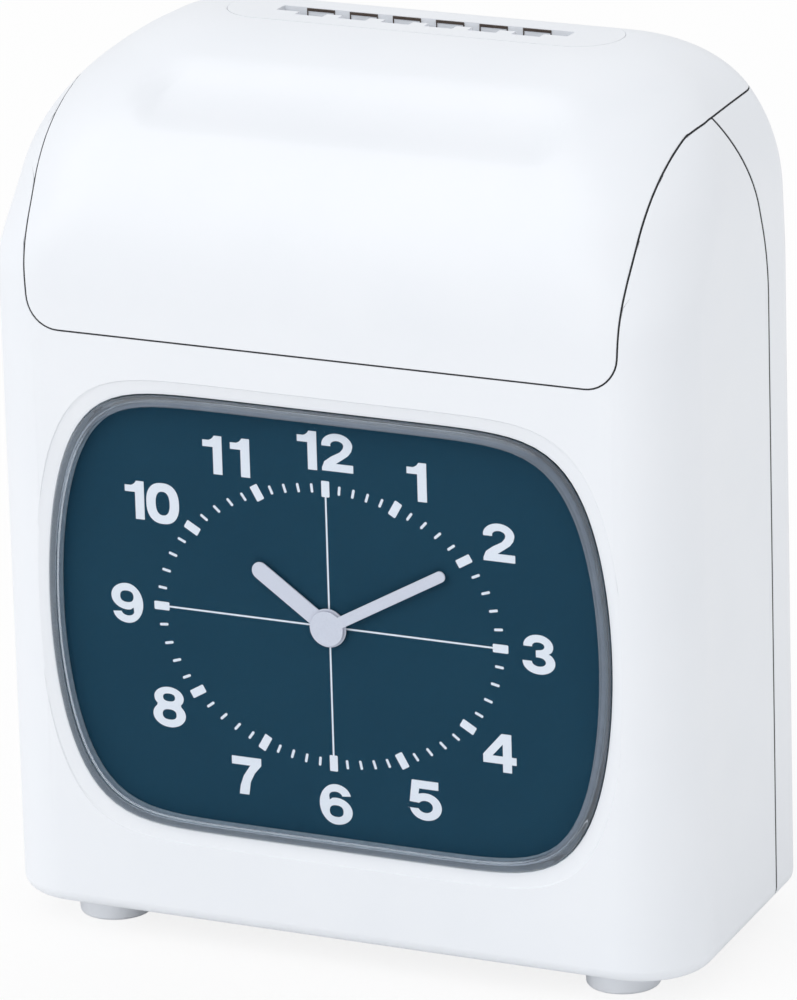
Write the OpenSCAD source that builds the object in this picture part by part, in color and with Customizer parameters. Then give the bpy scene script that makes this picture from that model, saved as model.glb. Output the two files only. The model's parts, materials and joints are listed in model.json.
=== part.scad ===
// Electronic time recorder with an analogue dial in front and a card slot in the crest.
// Millimetres. X runs to the right, Y to the back and Z up from the table, with the origin under the middle.

/* [Casing] */
// Width of the casing across its front
case_w = 211; // [204:1:224]
// Depth of the casing, front face to back
case_d = 97; // [96:0.5:108]
// Height from the table to the crest
case_h = 251.5; // [249:0.5:256]
// Wall thickness of the mouldings
wall = 2.6; // [2.2:0.1:3]
// How much narrower each side is at the back
side_taper = 6.5; // [0:0.5:9]
// Radius of the curve from the front face up to the crest
front_arc = 64.5; // [60:0.5:70]
// Radius of the curve from the crest down to the back
rear_arc = 16; // [14:0.5:20]
// Radius of the shoulders, seen from the front
shoulder_r = 42; // [38:1:46]
// Radius of the upright front corners
edge_r = 21.5; // [16:0.5:24]
// Radius that the front corners grow to at the shoulders
edge_top_r = 33; // [28:1:36]
// Radius of the upright rear corners
rear_edge_r = 10; // [8:0.5:12]
// Radius that the rear corners grow to at the shoulders
rear_top_r = 12; // [12:0.5:18]
// Radius round the bottom edge
base_r = 4; // [4:0.5:8]
// Width of the seams between the mouldings
seam = 0.7; // [0.4:0.1:0.9]

/* [Case split] */
// Distance of the split between front and rear case ahead of the back
split_in = 22.3; // [21.5:0.1:25]
// How far below the crest the split starts to lean forward
split_lean_drop = 69; // [64:1:74]
// Radius of the bend in the split
split_lean_r = 55; // [45:1:65]
// Lean of the split above its bend, in degrees
split_lean = 22; // [16:1:26]

/* [Top cover] */
// Distance of the apron's side seams inside the casing's width, at the lower corners
apron_in = 17.8; // [14.8:0.5:21.8]
// How far the side seams lean out for each millimetre of height
apron_lean = 0.06; // [0:0.01:0.08]
// How far the cover's front apron reaches down from the crest
apron_drop = 76.1; // [73:0.1:79]
// Radius of the apron's lower corners
apron_r = 9; // [6:0.5:14]
// How far below the crest the level seam along the shoulders lies
shoulder_seam_drop = 15; // [13:0.5:16]
// Distance of the scoop behind the front face
scoop_in = 26.5; // [24:0.5:30]
// Depth of the scoop across the cover
scoop_depth = 3; // [1.5:0.25:4]
// Length of the scoop
scoop_len = 128; // [118:1:134]

/* [Feet] */
// Height of a foot
foot_h = 7.5; // [6:0.25:9]
// Diameter of a foot
foot_d = 23; // [18:0.5:24]
// Distance of each foot's centre inside the casing's side
foot_side_in = 27.5; // [21.5:0.5:35.5]
// Distance of the front feet behind the front face
foot_front_in = 20; // [17:0.5:26]
// Distance of the rear feet ahead of the back
foot_rear_in = 15.5; // [15:0.5:17]

/* [Window and dial] */
// Width of the front face on each side of the window
window_side = 20.5; // [17:0.25:26]
// Height of the front face between the window and the apron's seam
window_head = 14.9; // [11:0.1:18]
// Height of the window's lower edge above the table
window_sill = 34.3; // [31:0.1:38]
// Squareness of the window's level edges, where 2 is an ellipse
window_level_power = 8; // [5:0.1:9]
// Squareness of the window's upright edges, where 2 is an ellipse
window_upright_power = 1.95; // [1.8:0.05:2.6]
// How far the window's centre lies below the hands
window_drop = 1.1; // [0:0.1:3]
// Width of the shallow dish round the window
dish_margin = 4; // [2:0.25:6]
// Depth of that dish
dish_depth = 0.9; // [0.5:0.1:1.2]
// How far the lens stands proud of the front face
lens_proud = 1; // [0.4:0.1:1.6]
// Thickness of the lens
lens_t = 1.4; // [1.2:0.1:1.8]
// Width of the lens's sloping edge
bevel_w = 3.6; // [2.6:0.1:4.4]
// Clear depth for the hands between the lens and the dial
hand_space = 2.6; // [2.4:0.1:3.2]
// Thickness of the dial plate
dial_t = 1; // [0.8:0.1:1.5]

/* [Hands] */
// Length of the minute hand from its centre
minute_len = 41; // [34:0.5:44]
// Length of the hour hand from its centre
hour_len = 27; // [22:0.5:32]
// Width of the minute hand
minute_w = 3.2; // [2.4:0.1:4.5]
// Width of the hour hand
hour_w = 5; // [4:0.1:7]
// Thickness of each hand
hand_t = 0.5; // [0.4:0.1:0.7]
// Minutes past the hour that the hands show
shown_minute = 10.2; // [0:0.1:59.9]
// Hour that the hands show
shown_hour = 10; // [0:1:11]

/* [Movement] */
// Distance between the arbors of the hour train
train_centre = 12; // [11:0.25:13]
// Distance of the motor pinion from the hands' arbor
motor_centre = 11; // [10:0.25:11.5]
// Diameter of the minute arbor
arbor_d = 3; // [2.6:0.1:3.2]
// Outside diameter of the hour pipe
pipe_d = 5.4; // [5:0.1:6]
// Width of the movement plates
plate_w = 64; // [60:1:72]
// Height of the movement plates
plate_h = 52; // [50:1:60]
// Thickness of the movement plates
plate_t = 1.5; // [1:0.1:2]
// Clear distance between the movement plates
plate_gap = 12.5; // [12:0.25:14]
// Diameter of the clock motor
clock_motor_d = 20; // [16:0.5:22]

/* [Card path] */
// Distance of the card slot ahead of the back
slot_in = 24; // [23:0.25:25]
// Length of the card slot
slot_len = 88; // [86.5:0.25:90]
// Clear gap of the card slot
slot_gap = 5; // [4.8:0.1:5.4]
// Length of the slot guide in the crest
guide_len = 118; // [112:1:124]
// Width of the slot guide, front to back
guide_w = 24; // [22:0.5:25]
// Number of windows in the comb
comb_count = 6; // [4:1:6]
// Pitch of the comb's windows
comb_pitch = 13.1; // [12:0.1:13.6]
// Width of one comb window
comb_w = 8.5; // [6:0.1:9.5]
// Height of the lower end of the card chute
chute_z0 = 62; // [60:1:66]
// How far below the crest the card chute ends
chute_drop = 21; // [20:0.5:25]
// Thickness of the chute's front sheet
chute_t = 1.2; // [1:0.1:1.5]

/* [Chassis and printer] */
// Thickness of the chassis sheet
chassis_t = 1.5; // [1:0.1:2]
// Width of the chassis
chassis_w = 148; // [144:1:156]
// Height of the chassis shelf
shelf_z = 13; // [12:0.25:15]
// How far the shelf reaches ahead of the card slot
shelf_reach = 33; // [31:0.5:34]
// Distance between the printer's side plates
frame_gap = 132; // [130:1:138]
// How far below the crest the printer's cross plate lies
frame_drop = 69; // [67:0.5:70]
// How far below the crest the carriage rod and the spiral shaft lie
rod_drop = 55.5; // [54.5:0.25:56]
// Diameter of the carriage rod
rod_d = 6; // [5:0.25:6.5]
// Diameter of the spiral shaft
spiral_d = 6; // [5:0.25:6.5]
// Length of the carriage along its rod
carriage_len = 30; // [26:1:34]
// Travel of the carriage to each side
carriage_travel = 34; // [28:1:36]
// Diameter of the two printer motors
drive_motor_d = 24; // [20:0.5:25]
// Diameter of the stop screw
stop_screw_d = 5; // [4:0.25:6]
// Diameter of the stop's guide rod
stop_rod_d = 4; // [3:0.25:5]
// Distance of screw and rod from the middle plane
stop_x = 12; // [11:0.25:13]
// Height of the card stop at rest
stop_z = 72; // [71:0.5:76]
// Room left above the card stop at the top of its travel
stop_headroom = 10.5; // [4:0.5:30]

/* [Hinge, lock and buttons] */
// Outside diameter of the hinge knuckles
knuckle_d = 4.8; // [4.4:0.1:5]
// Diameter of the hinge pin
hinge_pin_d = 2.4; // [2:0.1:2.8]
// Distance of each end of the hinge inside the casing's side
hinge_in = 30.5; // [27.5:0.5:40.5]
// Outside diameter of the lock barrel
lock_d = 15.4; // [13:0.2:17]
// Diameter of the lock plug
lock_plug_d = 10; // [8:0.2:11]
// Distance of the lock behind the front face
lock_in = 38; // [32:1:44]
// How far below the crest the lock lies
lock_drop = 49; // [47:1:57]
// Width of a setting button
button_w = 9; // [7:0.5:11]
// Distance between setting buttons
button_pitch = 18; // [15:0.5:22]
// Travel of a setting button
button_travel = 1.2; // [0.6:0.1:1.5]

/* [Wall mounting] */
// Distance between the wall keyholes
keyhole_pitch = 80; // [60:1:90]
// Diameter of a keyhole's entry
keyhole_d = 9; // [8:0.25:10]
// Diameter of a keyhole's narrow end
keyhole_neck_d = 4.5; // [4:0.1:5]
// How far below the crest the keyhole entries lie
keyhole_drop = 58; // [57:0.25:59]

/* [Hidden] */

// Clearances: running fit on a shaft, fixed fit, and free gap between mouldings
run_fit = 0.05;
fixed_fit = 0.02;
free_gap = 0.3;
// Reach of a cutting shape past the surface that it cuts
past = 20;
// Colours of the finishes
shell_white = [0.93, 0.95, 0.97];
dial_teal = [0.12, 0.26, 0.33];
hand_lilac = [0.85, 0.84, 0.89];
steel_grey = [0.72, 0.73, 0.75];
brass_yellow = [0.80, 0.66, 0.32];
dark_plastic = [0.16, 0.17, 0.18];
clear_grey = [0.75, 0.82, 0.86, 0.45];

// The origin lies under the middle of the whole depth, from the lens's front to the back
front_y = (lens_proud - case_d) / 2;
back_y = front_y + case_d;
inner_back_y = back_y - wall;
arc_z = case_h - front_arc;
rear_arc_z = case_h - rear_arc;
shoulder_z = case_h - shoulder_r;
apron_w = case_w - 2 * apron_in;
apron_z = case_h - apron_drop;
shoulder_seam_z = case_h - shoulder_seam_drop;
window_w = case_w - 2 * window_side;
window_h = apron_z - window_head - window_sill;
window_z = window_sill + window_h / 2;
dial_z = window_z + window_drop;
split_y = back_y - split_in;
split_lean_z = case_h - split_lean_drop;
slot_y = back_y - slot_in;
chute_z1 = case_h - chute_drop;
frame_z = case_h - frame_drop;
rod_z = case_h - rod_drop;
corner_steps = 9;
level_step = 5;
// Heights above the shoulders' centre between which the upright corners grow
edge_blend = [-20, 5];

// Place along Y of a depth measured from the front face
function at_depth(depth) = front_y + depth;

// Profile of the casing: inset of the wall at a height, for a surface that lies t inside the outer one
function base_drop(z) = max(0, foot_h + base_r - z);
function wall_inset(z, t) = base_r - sqrt(max(0, pow(base_r - t, 2) - pow(base_drop(z), 2)));
function arc_reach(z, z0, r, t) = sqrt(max(0, pow(r - t, 2) - pow(max(0, z - z0), 2)));
function front_line(z, t) =
    z <= arc_z ? front_y + wall_inset(z, t) : front_y + front_arc - arc_reach(z, arc_z, front_arc, t);
function rear_line(z, t) =
    z <= rear_arc_z ? back_y - wall_inset(z, t) : back_y - rear_arc + arc_reach(z, rear_arc_z, rear_arc, t);
function half_width(z, t) =
    z <= shoulder_z ? case_w / 2 - wall_inset(z, t)
        : case_w / 2 - shoulder_r + arc_reach(z, shoulder_z, shoulder_r, t);
function blend(z) = min(1, max(0, (z - shoulder_z - edge_blend[0]) / (edge_blend[1] - edge_blend[0])));
function front_corner(z) = edge_r + (edge_top_r - edge_r) * blend(z);
function rear_corner(z) = rear_edge_r + (rear_top_r - rear_edge_r) * blend(z);
function taper_at(y) = 1 - (y - front_y) / case_d * side_taper / (case_w / 2);

// One quarter of a rounded section, from its centre, radius and first angle
function corner(cx, cy, r, a0) =
    [for (k = [0:corner_steps]) let (a = a0 + 90 * k / corner_steps) [cx + r * cos(a), cy + r * sin(a)]];
function section(z, t) =
    let (y0 = front_line(z, t), y1 = rear_line(z, t), hw = half_width(z, t), deep = y1 - y0,
        inset = z <= arc_z ? wall_inset(z, t) : t,
        rf = min(front_corner(z) - inset, 0.55 * deep), rr = min(rear_corner(z) - inset, 0.4 * deep),
        outline = concat(corner(hw - rf, y0 + rf, rf, -90), corner(hw - rr, y1 - rr, rr, 0),
            corner(-hw + rr, y1 - rr, rr, 90), corner(-hw + rf, y0 + rf, rf, 180)))
    [for (p = outline) [p[0] * taper_at(p[1]), p[1], z]];
function levels(t) = concat(
    [for (a = [0:22.5:90]) foot_h + base_r - (base_r - t) * cos(a)],
    [for (b = [0:level_step:90]) arc_z + (front_arc - t) * sin(b)]);

// Solid of the casing's shape, t inside its outer surface
module loaf(t) {
    heights = levels(t);
    count = 4 * (corner_steps + 1);
    rings = len(heights);
    points = [for (z = heights) each section(z, t)];
    sides = [for (i = [0:rings - 2], j = [0:count - 1])
        let (a = i * count + j, b = i * count + (j + 1) % count, c = b + count, d = a + count)
        each [[a, d, c], [a, c, b]]];
    bottom = [[for (j = [0:count - 1]) j]];
    top = [[for (j = [count - 1:-1:0]) (rings - 1) * count + j]];
    polyhedron(points = points, faces = concat(bottom, sides, top), convexity = 6);
}

// A flat outline in X and Z, extruded from y0 to y1
module plate_y(y0, y1) {
    translate([0, y1, 0]) rotate([90, 0, 0]) linear_extrude(y1 - y0) children();
}

// A flat outline in Y and Z, extruded from x0 to x1
module plate_x(x0, x1) {
    translate([x0, 0, 0]) rotate([90, 0, 90]) linear_extrude(x1 - x0) children();
}

// A box between two corners
module block(low, high) {
    translate(low) cube(high - low);
}

// Round bars along each axis
module bar_x(x0, x1, y, z, d) {
    translate([x0, y, z]) rotate([0, 90, 0]) cylinder(d = d, h = x1 - x0, $fn = 48);
}
module bar_y(y0, y1, x, z, d) {
    translate([x, y0, z]) rotate([-90, 0, 0]) cylinder(d = d, h = y1 - y0, $fn = 48);
}
module bar_z(z0, z1, x, y, d) {
    translate([x, y, z0]) cylinder(d = d, h = z1 - z0, $fn = 48);
}

// Rounded oblong like a television screen, by the superellipse formula
function screen(w, h, level, upright, count = 96) = [for (i = [0:count - 1])
    let (c = cos(360 * i / count), s = sin(360 * i / count))
    [w / 2 * sign(c) * pow(abs(c), 2 / level), h / 2 * sign(s) * pow(abs(s), 2 / upright)]];
module screen_shape(extra) {
    translate([0, window_z])
        polygon(screen(window_w + 2 * extra, window_h + 2 * extra, window_level_power, window_upright_power));
}

// Spur gear outline with involute flanks, drawn with a tooth on the X axis
pressure_angle = 20;
gear_play = 0.05;
function involute(r, base) = let (a = acos(min(1, base / r))) tan(a) - a * PI / 180;
function flank(r, pitch_r, half) =
    let (base = pitch_r * cos(pressure_angle))
    half + (involute(pitch_r, base) - involute(max(r, base), base)) * 180 / PI;
function gear_points(teeth, module_mm, tip, root) =
    let (pitch_r = teeth * module_mm / 2, half = 90 / teeth - gear_play / pitch_r * 180 / PI,
        radii = [pitch_r - root * module_mm, pitch_r, pitch_r + tip * module_mm])
    [for (i = [0:teeth - 1], k = [0:5])
        let (r = radii[k < 3 ? k : 5 - k], a = 360 * i / teeth + (k < 3 ? -1 : 1) * flank(r, pitch_r, half))
        r * [cos(a), sin(a)]];
module gear(teeth, module_mm, tip, y0, y1, x, z, turn) {
    plate_y(y0, y1) translate([x, z]) rotate(turn) polygon(gear_points(teeth, module_mm, tip, gear_root));
}
wheel_tip = 0.6;
pinion_tip = 0.8;
gear_root = 1.05;

// Regions that the seams cut the casing into
module apron_outline(grow) {
    half = apron_w / 2 + grow;
    low = apron_z - grow;
    r = apron_r + grow;
    top = case_h + past;
    top_half = half + apron_lean * (top - low);
    hull() {
        for (side = [-1, 1]) translate([side * (half - r), low + r]) circle(r, $fn = 48);
        translate([-top_half, top]) square([2 * top_half, 1]);
    }
}
module cover_region(grow) {
    plate_y(front_y - past, 0) apron_outline(grow);
    block([-case_w, -case_d, shoulder_seam_z - grow], [case_w, case_d, case_h + past]);
}
module split_outline(shift) {
    steps = 6;
    top = case_h + past;
    bend = [for (k = [0:steps]) let (a = split_lean * k / steps)
        [split_y + shift - split_lean_r * (1 - cos(a)), split_lean_z + split_lean_r * sin(a)]];
    polygon(concat([[front_y - past, top], [front_y - past, -past], [split_y + shift, -past]], bend,
        [[bend[steps][0] - (top - bend[steps][1]) * tan(split_lean), top]]));
}
module hollow_casing() {
    difference() {
        loaf(0);
        loaf(wall);
    }
}

// Hinge line of the cover, with the groove that its knuckles lie in
hinge_len = case_w - 2 * hinge_in;
hinge_back_in = 2.5;
hinge_seam_drop = 0.3;
hinge_y = back_y - hinge_back_in;
hinge_z = shoulder_seam_z - hinge_seam_drop;
groove_clear = 0.8;
groove_end = 11;
groove_deep = 6;
groove_half = hinge_len / 2 + groove_end;
groove_low = hinge_z - knuckle_d / 2 - groove_clear;
groove_high = hinge_z + knuckle_d / 2 + groove_clear;
module hinge_groove() {
    block([-groove_half, hinge_y - groove_deep, groove_low], [groove_half, back_y + past, groove_high]);
}

// Screws that hold the cases together, and their bosses
screw_side_in = 14.5;
screw_low_z = 22;
screw_high_drop = 77;
screw_spots = [for (sx = [-1, 1], z = [screw_low_z, case_h - screw_high_drop])
    [sx * (case_w / 2 - screw_side_in), z]];
screw_d = 3.2;
screw_head_d = 6.4;
screw_head_h = 2.9;
screw_head_in = 6;
screw_bite = 10;
screw_tip_y = split_y - screw_bite;
boss_d = 8;
boss_cap = 4;
rear_boss_d = 10;
web_t = 2.4;
module side_web(spot, y0, y1) {
    outer = sign(spot[0]) * case_w / 2;
    block([min(spot[0], outer), y0, spot[1] - web_t / 2], [max(spot[0], outer), y1, spot[1] + web_t / 2]);
}

// Chassis position and the posts that carry it
chassis_y = slot_y + slot_gap / 2;
chassis_back_y = chassis_y + chassis_t;
post_x = 62;
post_low_z = 30;
post_high_drop = 39;
post_spots = [for (sx = [-1, 1], z = [post_low_z, case_h - post_high_drop]) [sx * post_x, z]];
post_d = 9;

// Lens, and the dial that stands behind its flange on four posts
lens_flange = 1.4;
lens_flange_t = 1.5;
lens_wall = 1.6;
lens_front_in = -lens_proud;
lens_back_in = lens_front_in + lens_t;
flange_in = wall + free_gap;
rim_in = flange_in + lens_flange_t + free_gap;
dial_in = lens_back_in + hand_space;
dial_rim = [7, 6];
dial_power = 5;
dial_post_in = [5, 7];
dial_posts = [for (sx = [-1, 1], sz = [-1, 1])
    [sx * (window_w / 2 - dial_post_in[0]), window_z + sz * (window_h / 2 - dial_post_in[1])]];
dial_post_d = 6;

// Ledge under the switch panel
panel_drop = 5.2;
panel_z = apron_z - panel_drop;
panel_half = 60;
ledge_t = 2;
ledge_reach = 6;
panel_t = 2;

module front_case() {
    color(shell_white) resize([0, 0, 0]) difference() {
        intersection() {
            union() {
                hollow_casing();
                intersection() {
                    loaf(wall / 2);
                    union() {
                        for (spot = screw_spots) {
                            bar_y(screw_tip_y - boss_cap, split_y + 1, spot[0], spot[1], boss_d);
                            side_web(spot, screw_tip_y - boss_cap, split_y + 1);
                        }
                        for (spot = dial_posts)
                            bar_y(front_y, at_depth(rim_in), spot[0], spot[1], dial_post_d);
                        block([-panel_half - 2, front_y, panel_z - ledge_t],
                            [panel_half + 2, at_depth(wall + ledge_reach), panel_z]);
                    }
                }
            }
            plate_x(-case_w, case_w) split_outline(-seam / 2);
        }
        cover_region(seam / 2);
        plate_y(front_y - past, at_depth(wall + 0.1)) screen_shape(0);
        plate_y(front_y - past, at_depth(dish_depth)) screen_shape(dish_margin);
        for (spot = screw_spots)
            bar_y(screw_tip_y - boss_cap / 2, back_y, spot[0], spot[1], screw_d + free_gap);
        bar_x(-case_w, -case_w / 2 + past, at_depth(lock_in), lock_z, lock_d + 2 * free_gap);
    }
}

module rear_case() {
    color(shell_white) resize([0, 0, 0]) difference() {
        union() {
            hollow_casing();
            intersection() {
                loaf(wall / 2);
                union() {
                    for (spot = screw_spots) {
                        bar_y(split_y - 1, back_y, spot[0], spot[1], rear_boss_d);
                        side_web(spot, split_y - 1, back_y);
                    }
                    for (spot = post_spots) bar_y(chassis_back_y, back_y, spot[0], spot[1], post_d);
                }
            }
        }
        plate_x(-case_w, case_w) split_outline(seam / 2);
        block([-case_w, -case_d, shoulder_seam_z - seam / 2], [case_w, case_d, case_h + past]);
        hinge_groove();
        for (spot = screw_spots) {
            bar_y(front_y, back_y + past, spot[0], spot[1], screw_d + free_gap);
            bar_y(back_y - screw_head_in - screw_head_h - 0.1, back_y + past, spot[0], spot[1],
                screw_head_d + 2 * free_gap);
        }
        block([-plate_half + plate_lap, inner_back_y - 0.1, plate_z0 + plate_lap],
            [plate_half - plate_lap, back_y + past, plate_z1 - plate_lap]);
        bar_y(back_y - past, back_y + past, gland_x, gland_z, gland_d + 2 * free_gap);
    }
}

module top_cover() {
    color(shell_white) resize([0, 0, 0]) difference() {
        intersection() {
            union() {
                hollow_casing();
                intersection() {
                    loaf(wall / 2);
                    scoop(wall);
                }
            }
            cover_region(-seam / 2);
        }
        scoop(0);
        hinge_groove();
        stadium(guide_len + 2 * free_gap, guide_w + 2 * free_gap, case_h - past, case_h + past);
    }
}

// Shallow trough with short round ends that crosses the slope in front of the slot, and its skin t behind it
scoop_r = 34;
scoop_end = 8;
scoop_steep = 1.8;
module scoop(t) {
    lean = asin((front_arc - scoop_in) / front_arc);
    reach = front_arc + scoop_r - scoop_depth;
    translate([0, front_y + front_arc - reach * sin(lean), arc_z + reach * cos(lean)]) {
        rotate([0, 90, 0]) cylinder(r = scoop_r + t, h = scoop_len - 2 * scoop_end, center = true, $fn = 120);
        for (side = [-1, 1]) translate([side * (scoop_len / 2 - scoop_end), 0, 0])
            scale([1 / scoop_steep, 1, 1]) sphere(r = scoop_r + t, $fn = 96);
    }
}

// Upright solid with round ends, centred on the slot
module stadium(length, width, z0, z1) {
    translate([0, slot_y, z0]) linear_extrude(z1 - z0) {
        square([length - width, width], center = true);
        for (side = [-1, 1]) translate([side * (length - width) / 2, 0]) circle(d = width, $fn = 64);
    }
}

guide_flange = [2.5, 1];
guide_flange_t = 2;
guide_flange_drop = 5.8;
guide_wall = 2.4;
throat_wall = 1.4;
throat_z = chute_z1 + 3;
comb_depth = 3;
comb_drop = 2;
module slot_guide() {
    flange_z = case_h - guide_flange_drop;
    color(shell_white) difference() {
        union() {
            difference() {
                union() {
                    stadium(guide_len, guide_w, flange_z - guide_flange_t, case_h);
                    stadium(guide_len + 2 * guide_flange[0], guide_w + 2 * guide_flange[1],
                        flange_z - guide_flange_t, flange_z);
                }
                stadium(guide_len - 2 * guide_wall, guide_w - 2 * guide_wall, flange_z - past,
                    case_h - guide_wall);
            }
            block([-slot_len / 2 - throat_wall, slot_y - slot_gap / 2 - throat_wall, throat_z],
                [slot_len / 2 + throat_wall, slot_y + slot_gap / 2 + throat_wall, case_h - 1]);
        }
        block([-slot_len / 2, slot_y - slot_gap / 2, throat_z - past],
            [slot_len / 2, slot_y + slot_gap / 2, case_h + past]);
        for (i = [0:comb_count - 1]) {
            x = (i - (comb_count - 1) / 2) * comb_pitch;
            block([x - comb_w / 2, slot_y - slot_gap / 2 - comb_depth, case_h - comb_drop],
                [x + comb_w / 2, slot_y, case_h + past]);
        }
    }
}

// Knuckles of the hinge: five along the pin, in turn on the case and on the cover
knuckle_count = 5;
knuckle_len = hinge_len / knuckle_count;
knuckle_end = 0.15;
knuckle_shell = 0.3;
function knuckle_x(i) = -hinge_len / 2 + i * knuckle_len;
leaf_t = 1.1;
leaf_drop = 14;
leaf_seat = 0.15;
module knuckle(i, bore) {
    difference() {
        bar_x(knuckle_x(i) + knuckle_end, knuckle_x(i + 1) - knuckle_end, hinge_y, hinge_z, knuckle_d);
        bar_x(-case_w, case_w, hinge_y, hinge_z, bore);
    }
}
module case_hinge_leaf() {
    leaf_y = inner_back_y - leaf_seat;
    color(steel_grey) union() {
        for (i = [0:2:knuckle_count - 1]) {
            knuckle(i, hinge_pin_d + 2 * fixed_fit);
            difference() {
                block([knuckle_x(i) + knuckle_end, leaf_y - leaf_t, groove_low - leaf_drop],
                    [knuckle_x(i + 1) - knuckle_end, leaf_y, hinge_z]);
                bar_x(-case_w, case_w, hinge_y, hinge_z, knuckle_d - 2 * knuckle_shell);
            }
        }
        block([-hinge_len / 2, leaf_y - leaf_t, groove_low - leaf_drop],
            [hinge_len / 2, leaf_y, groove_low - 2]);
    }
}
cover_leaf_rise = 0.9;
cover_leaf_lap = 1.5;
cover_leaf_clear = 0.4;
module cover_hinge_leaf() {
    leaf_top = groove_high + cover_leaf_lap;
    leaf_y = rear_line(leaf_top, wall) - 0.35;
    leaf_z = hinge_z + cover_leaf_rise;
    color(steel_grey) union() {
        for (i = [1:2:knuckle_count - 1]) {
            x0 = knuckle_x(i) + knuckle_end;
            x1 = knuckle_x(i + 1) - knuckle_end;
            knuckle(i, hinge_pin_d + 2 * run_fit);
            difference() {
                union() {
                    block([x0, leaf_y - leaf_t, leaf_z], [x1, hinge_y, leaf_z + leaf_t]);
                    block([x0, leaf_y - leaf_t, leaf_z], [x1, leaf_y, leaf_top]);
                }
                bar_x(-case_w, case_w, hinge_y, hinge_z, knuckle_d - 2 * knuckle_shell);
            }
        }
        block([-knuckle_x(4), leaf_y - leaf_t, hinge_z + knuckle_d / 2 + cover_leaf_clear],
            [knuckle_x(4), leaf_y, leaf_top]);
    }
}
pin_head_t = 1.2;
pin_head_lip = 0.7;
pin_play = 0.2;
module hinge_pin() {
    color(steel_grey) {
        bar_x(-hinge_len / 2 - pin_play, hinge_len / 2 + pin_play, hinge_y, hinge_z, hinge_pin_d);
        for (side = [-1, 1])
            translate([side * (hinge_len / 2 + pin_play + pin_head_t / 2), hinge_y, hinge_z])
                rotate([0, 90, 0])
                    cylinder(d = hinge_pin_d + 2 * pin_head_lip, h = pin_head_t, center = true, $fn = 32);
    }
}

foot_flange_t = 1;
foot_lip = 0.9;
foot_round = [1, 0.6];
module feet() {
    foot_x = case_w / 2 - foot_side_in;
    r = foot_d / 2;
    neck = r - foot_lip;
    color(shell_white) for (x = [-foot_x, foot_x], y = [at_depth(foot_front_in), back_y - foot_rear_in])
        translate([x, y, 0]) rotate_extrude($fn = 64) polygon([[0, 0], [neck - 0.3 - foot_round[0], 0],
            [neck - 0.3, foot_round[1]], [neck, foot_h - foot_flange_t], [r, foot_h - foot_flange_t],
            [r, foot_h], [0, foot_h]]);
}

// Solid with the window's outline whose front edge slopes back to a foot line
module lens_form(front_in, foot_in, back_in, inset, slope) {
    hull() {
        plate_y(at_depth(front_in), at_depth(foot_in)) screen_shape(-inset - slope);
        plate_y(at_depth(foot_in), at_depth(back_in)) screen_shape(-inset);
    }
}
lens_foot_in = dish_depth - 0.1;
lens_inner_drop = 1.2;
module window_lens() {
    color(clear_grey) difference() {
        union() {
            lens_form(lens_front_in, lens_foot_in, flange_in + lens_flange_t, free_gap, bevel_w);
            plate_y(at_depth(flange_in), at_depth(flange_in + lens_flange_t)) screen_shape(lens_flange);
        }
        lens_form(lens_back_in, lens_back_in + lens_inner_drop, past, free_gap + lens_wall,
            bevel_w - lens_wall + free_gap);
    }
}

// The dial's face stands forward inside the lens, on a wider rim that the posts carry
module dial_plate() {
    face_inset = free_gap + lens_wall + free_gap;
    color(dial_teal) difference() {
        union() {
            plate_y(at_depth(dial_in), at_depth(rim_in + dial_t / 2)) screen_shape(-face_inset);
            plate_y(at_depth(rim_in), at_depth(rim_in + dial_t))
                translate([0, window_z])
                    polygon(screen(window_w + 2 * dial_rim[0], window_h + 2 * dial_rim[1], dial_power,
                        dial_power));
        }
        bar_y(front_y, back_y, 0, dial_z, pipe_d + 2 * pipe_clear);
    }
}

// Depths of the hands, the plates and the wheels of the movement
hand_gap = 0.4;
hour_lift = 1.3;
pipe_clear = 0.8;
minute_in = lens_back_in + hand_gap;
hour_in = dial_in - hour_lift;
plate_in = rim_in + dial_t;
gear_in = plate_in + plate_t;
back_plate_in = gear_in + plate_gap;
hour_gear = [gear_in + 1, gear_in + 2.5];
cannon_gear = [gear_in + 4, gear_in + 6];
centre_gear = [gear_in + 8, gear_in + 10];
minute_turn = shown_minute * 6;
hour_turn = (shown_hour + shown_minute / 60) * 30;

// A hand with a round boss and a round tip, turned clockwise from upright
hour_boss_d = 11;
minute_boss_d = 10;
module hand(length, width, boss, turn) {
    translate([0, dial_z]) rotate(-turn) {
        circle(d = boss, $fn = 48);
        translate([-width / 2, 0]) square([width, length - width / 2]);
        translate([0, length - width / 2]) circle(d = width, $fn = 32);
    }
}
module hour_hand() {
    color(hand_lilac) plate_y(at_depth(hour_in), at_depth(hour_in + hand_t))
        difference() {
            hand(hour_len, hour_w, hour_boss_d, hour_turn);
            translate([0, dial_z]) circle(d = pipe_d + 2 * fixed_fit, $fn = 48);
        }
}
module minute_hand() {
    color(hand_lilac) plate_y(at_depth(minute_in), at_depth(minute_in + hand_t))
        hand(minute_len, minute_w, minute_boss_d, minute_turn);
}

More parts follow.
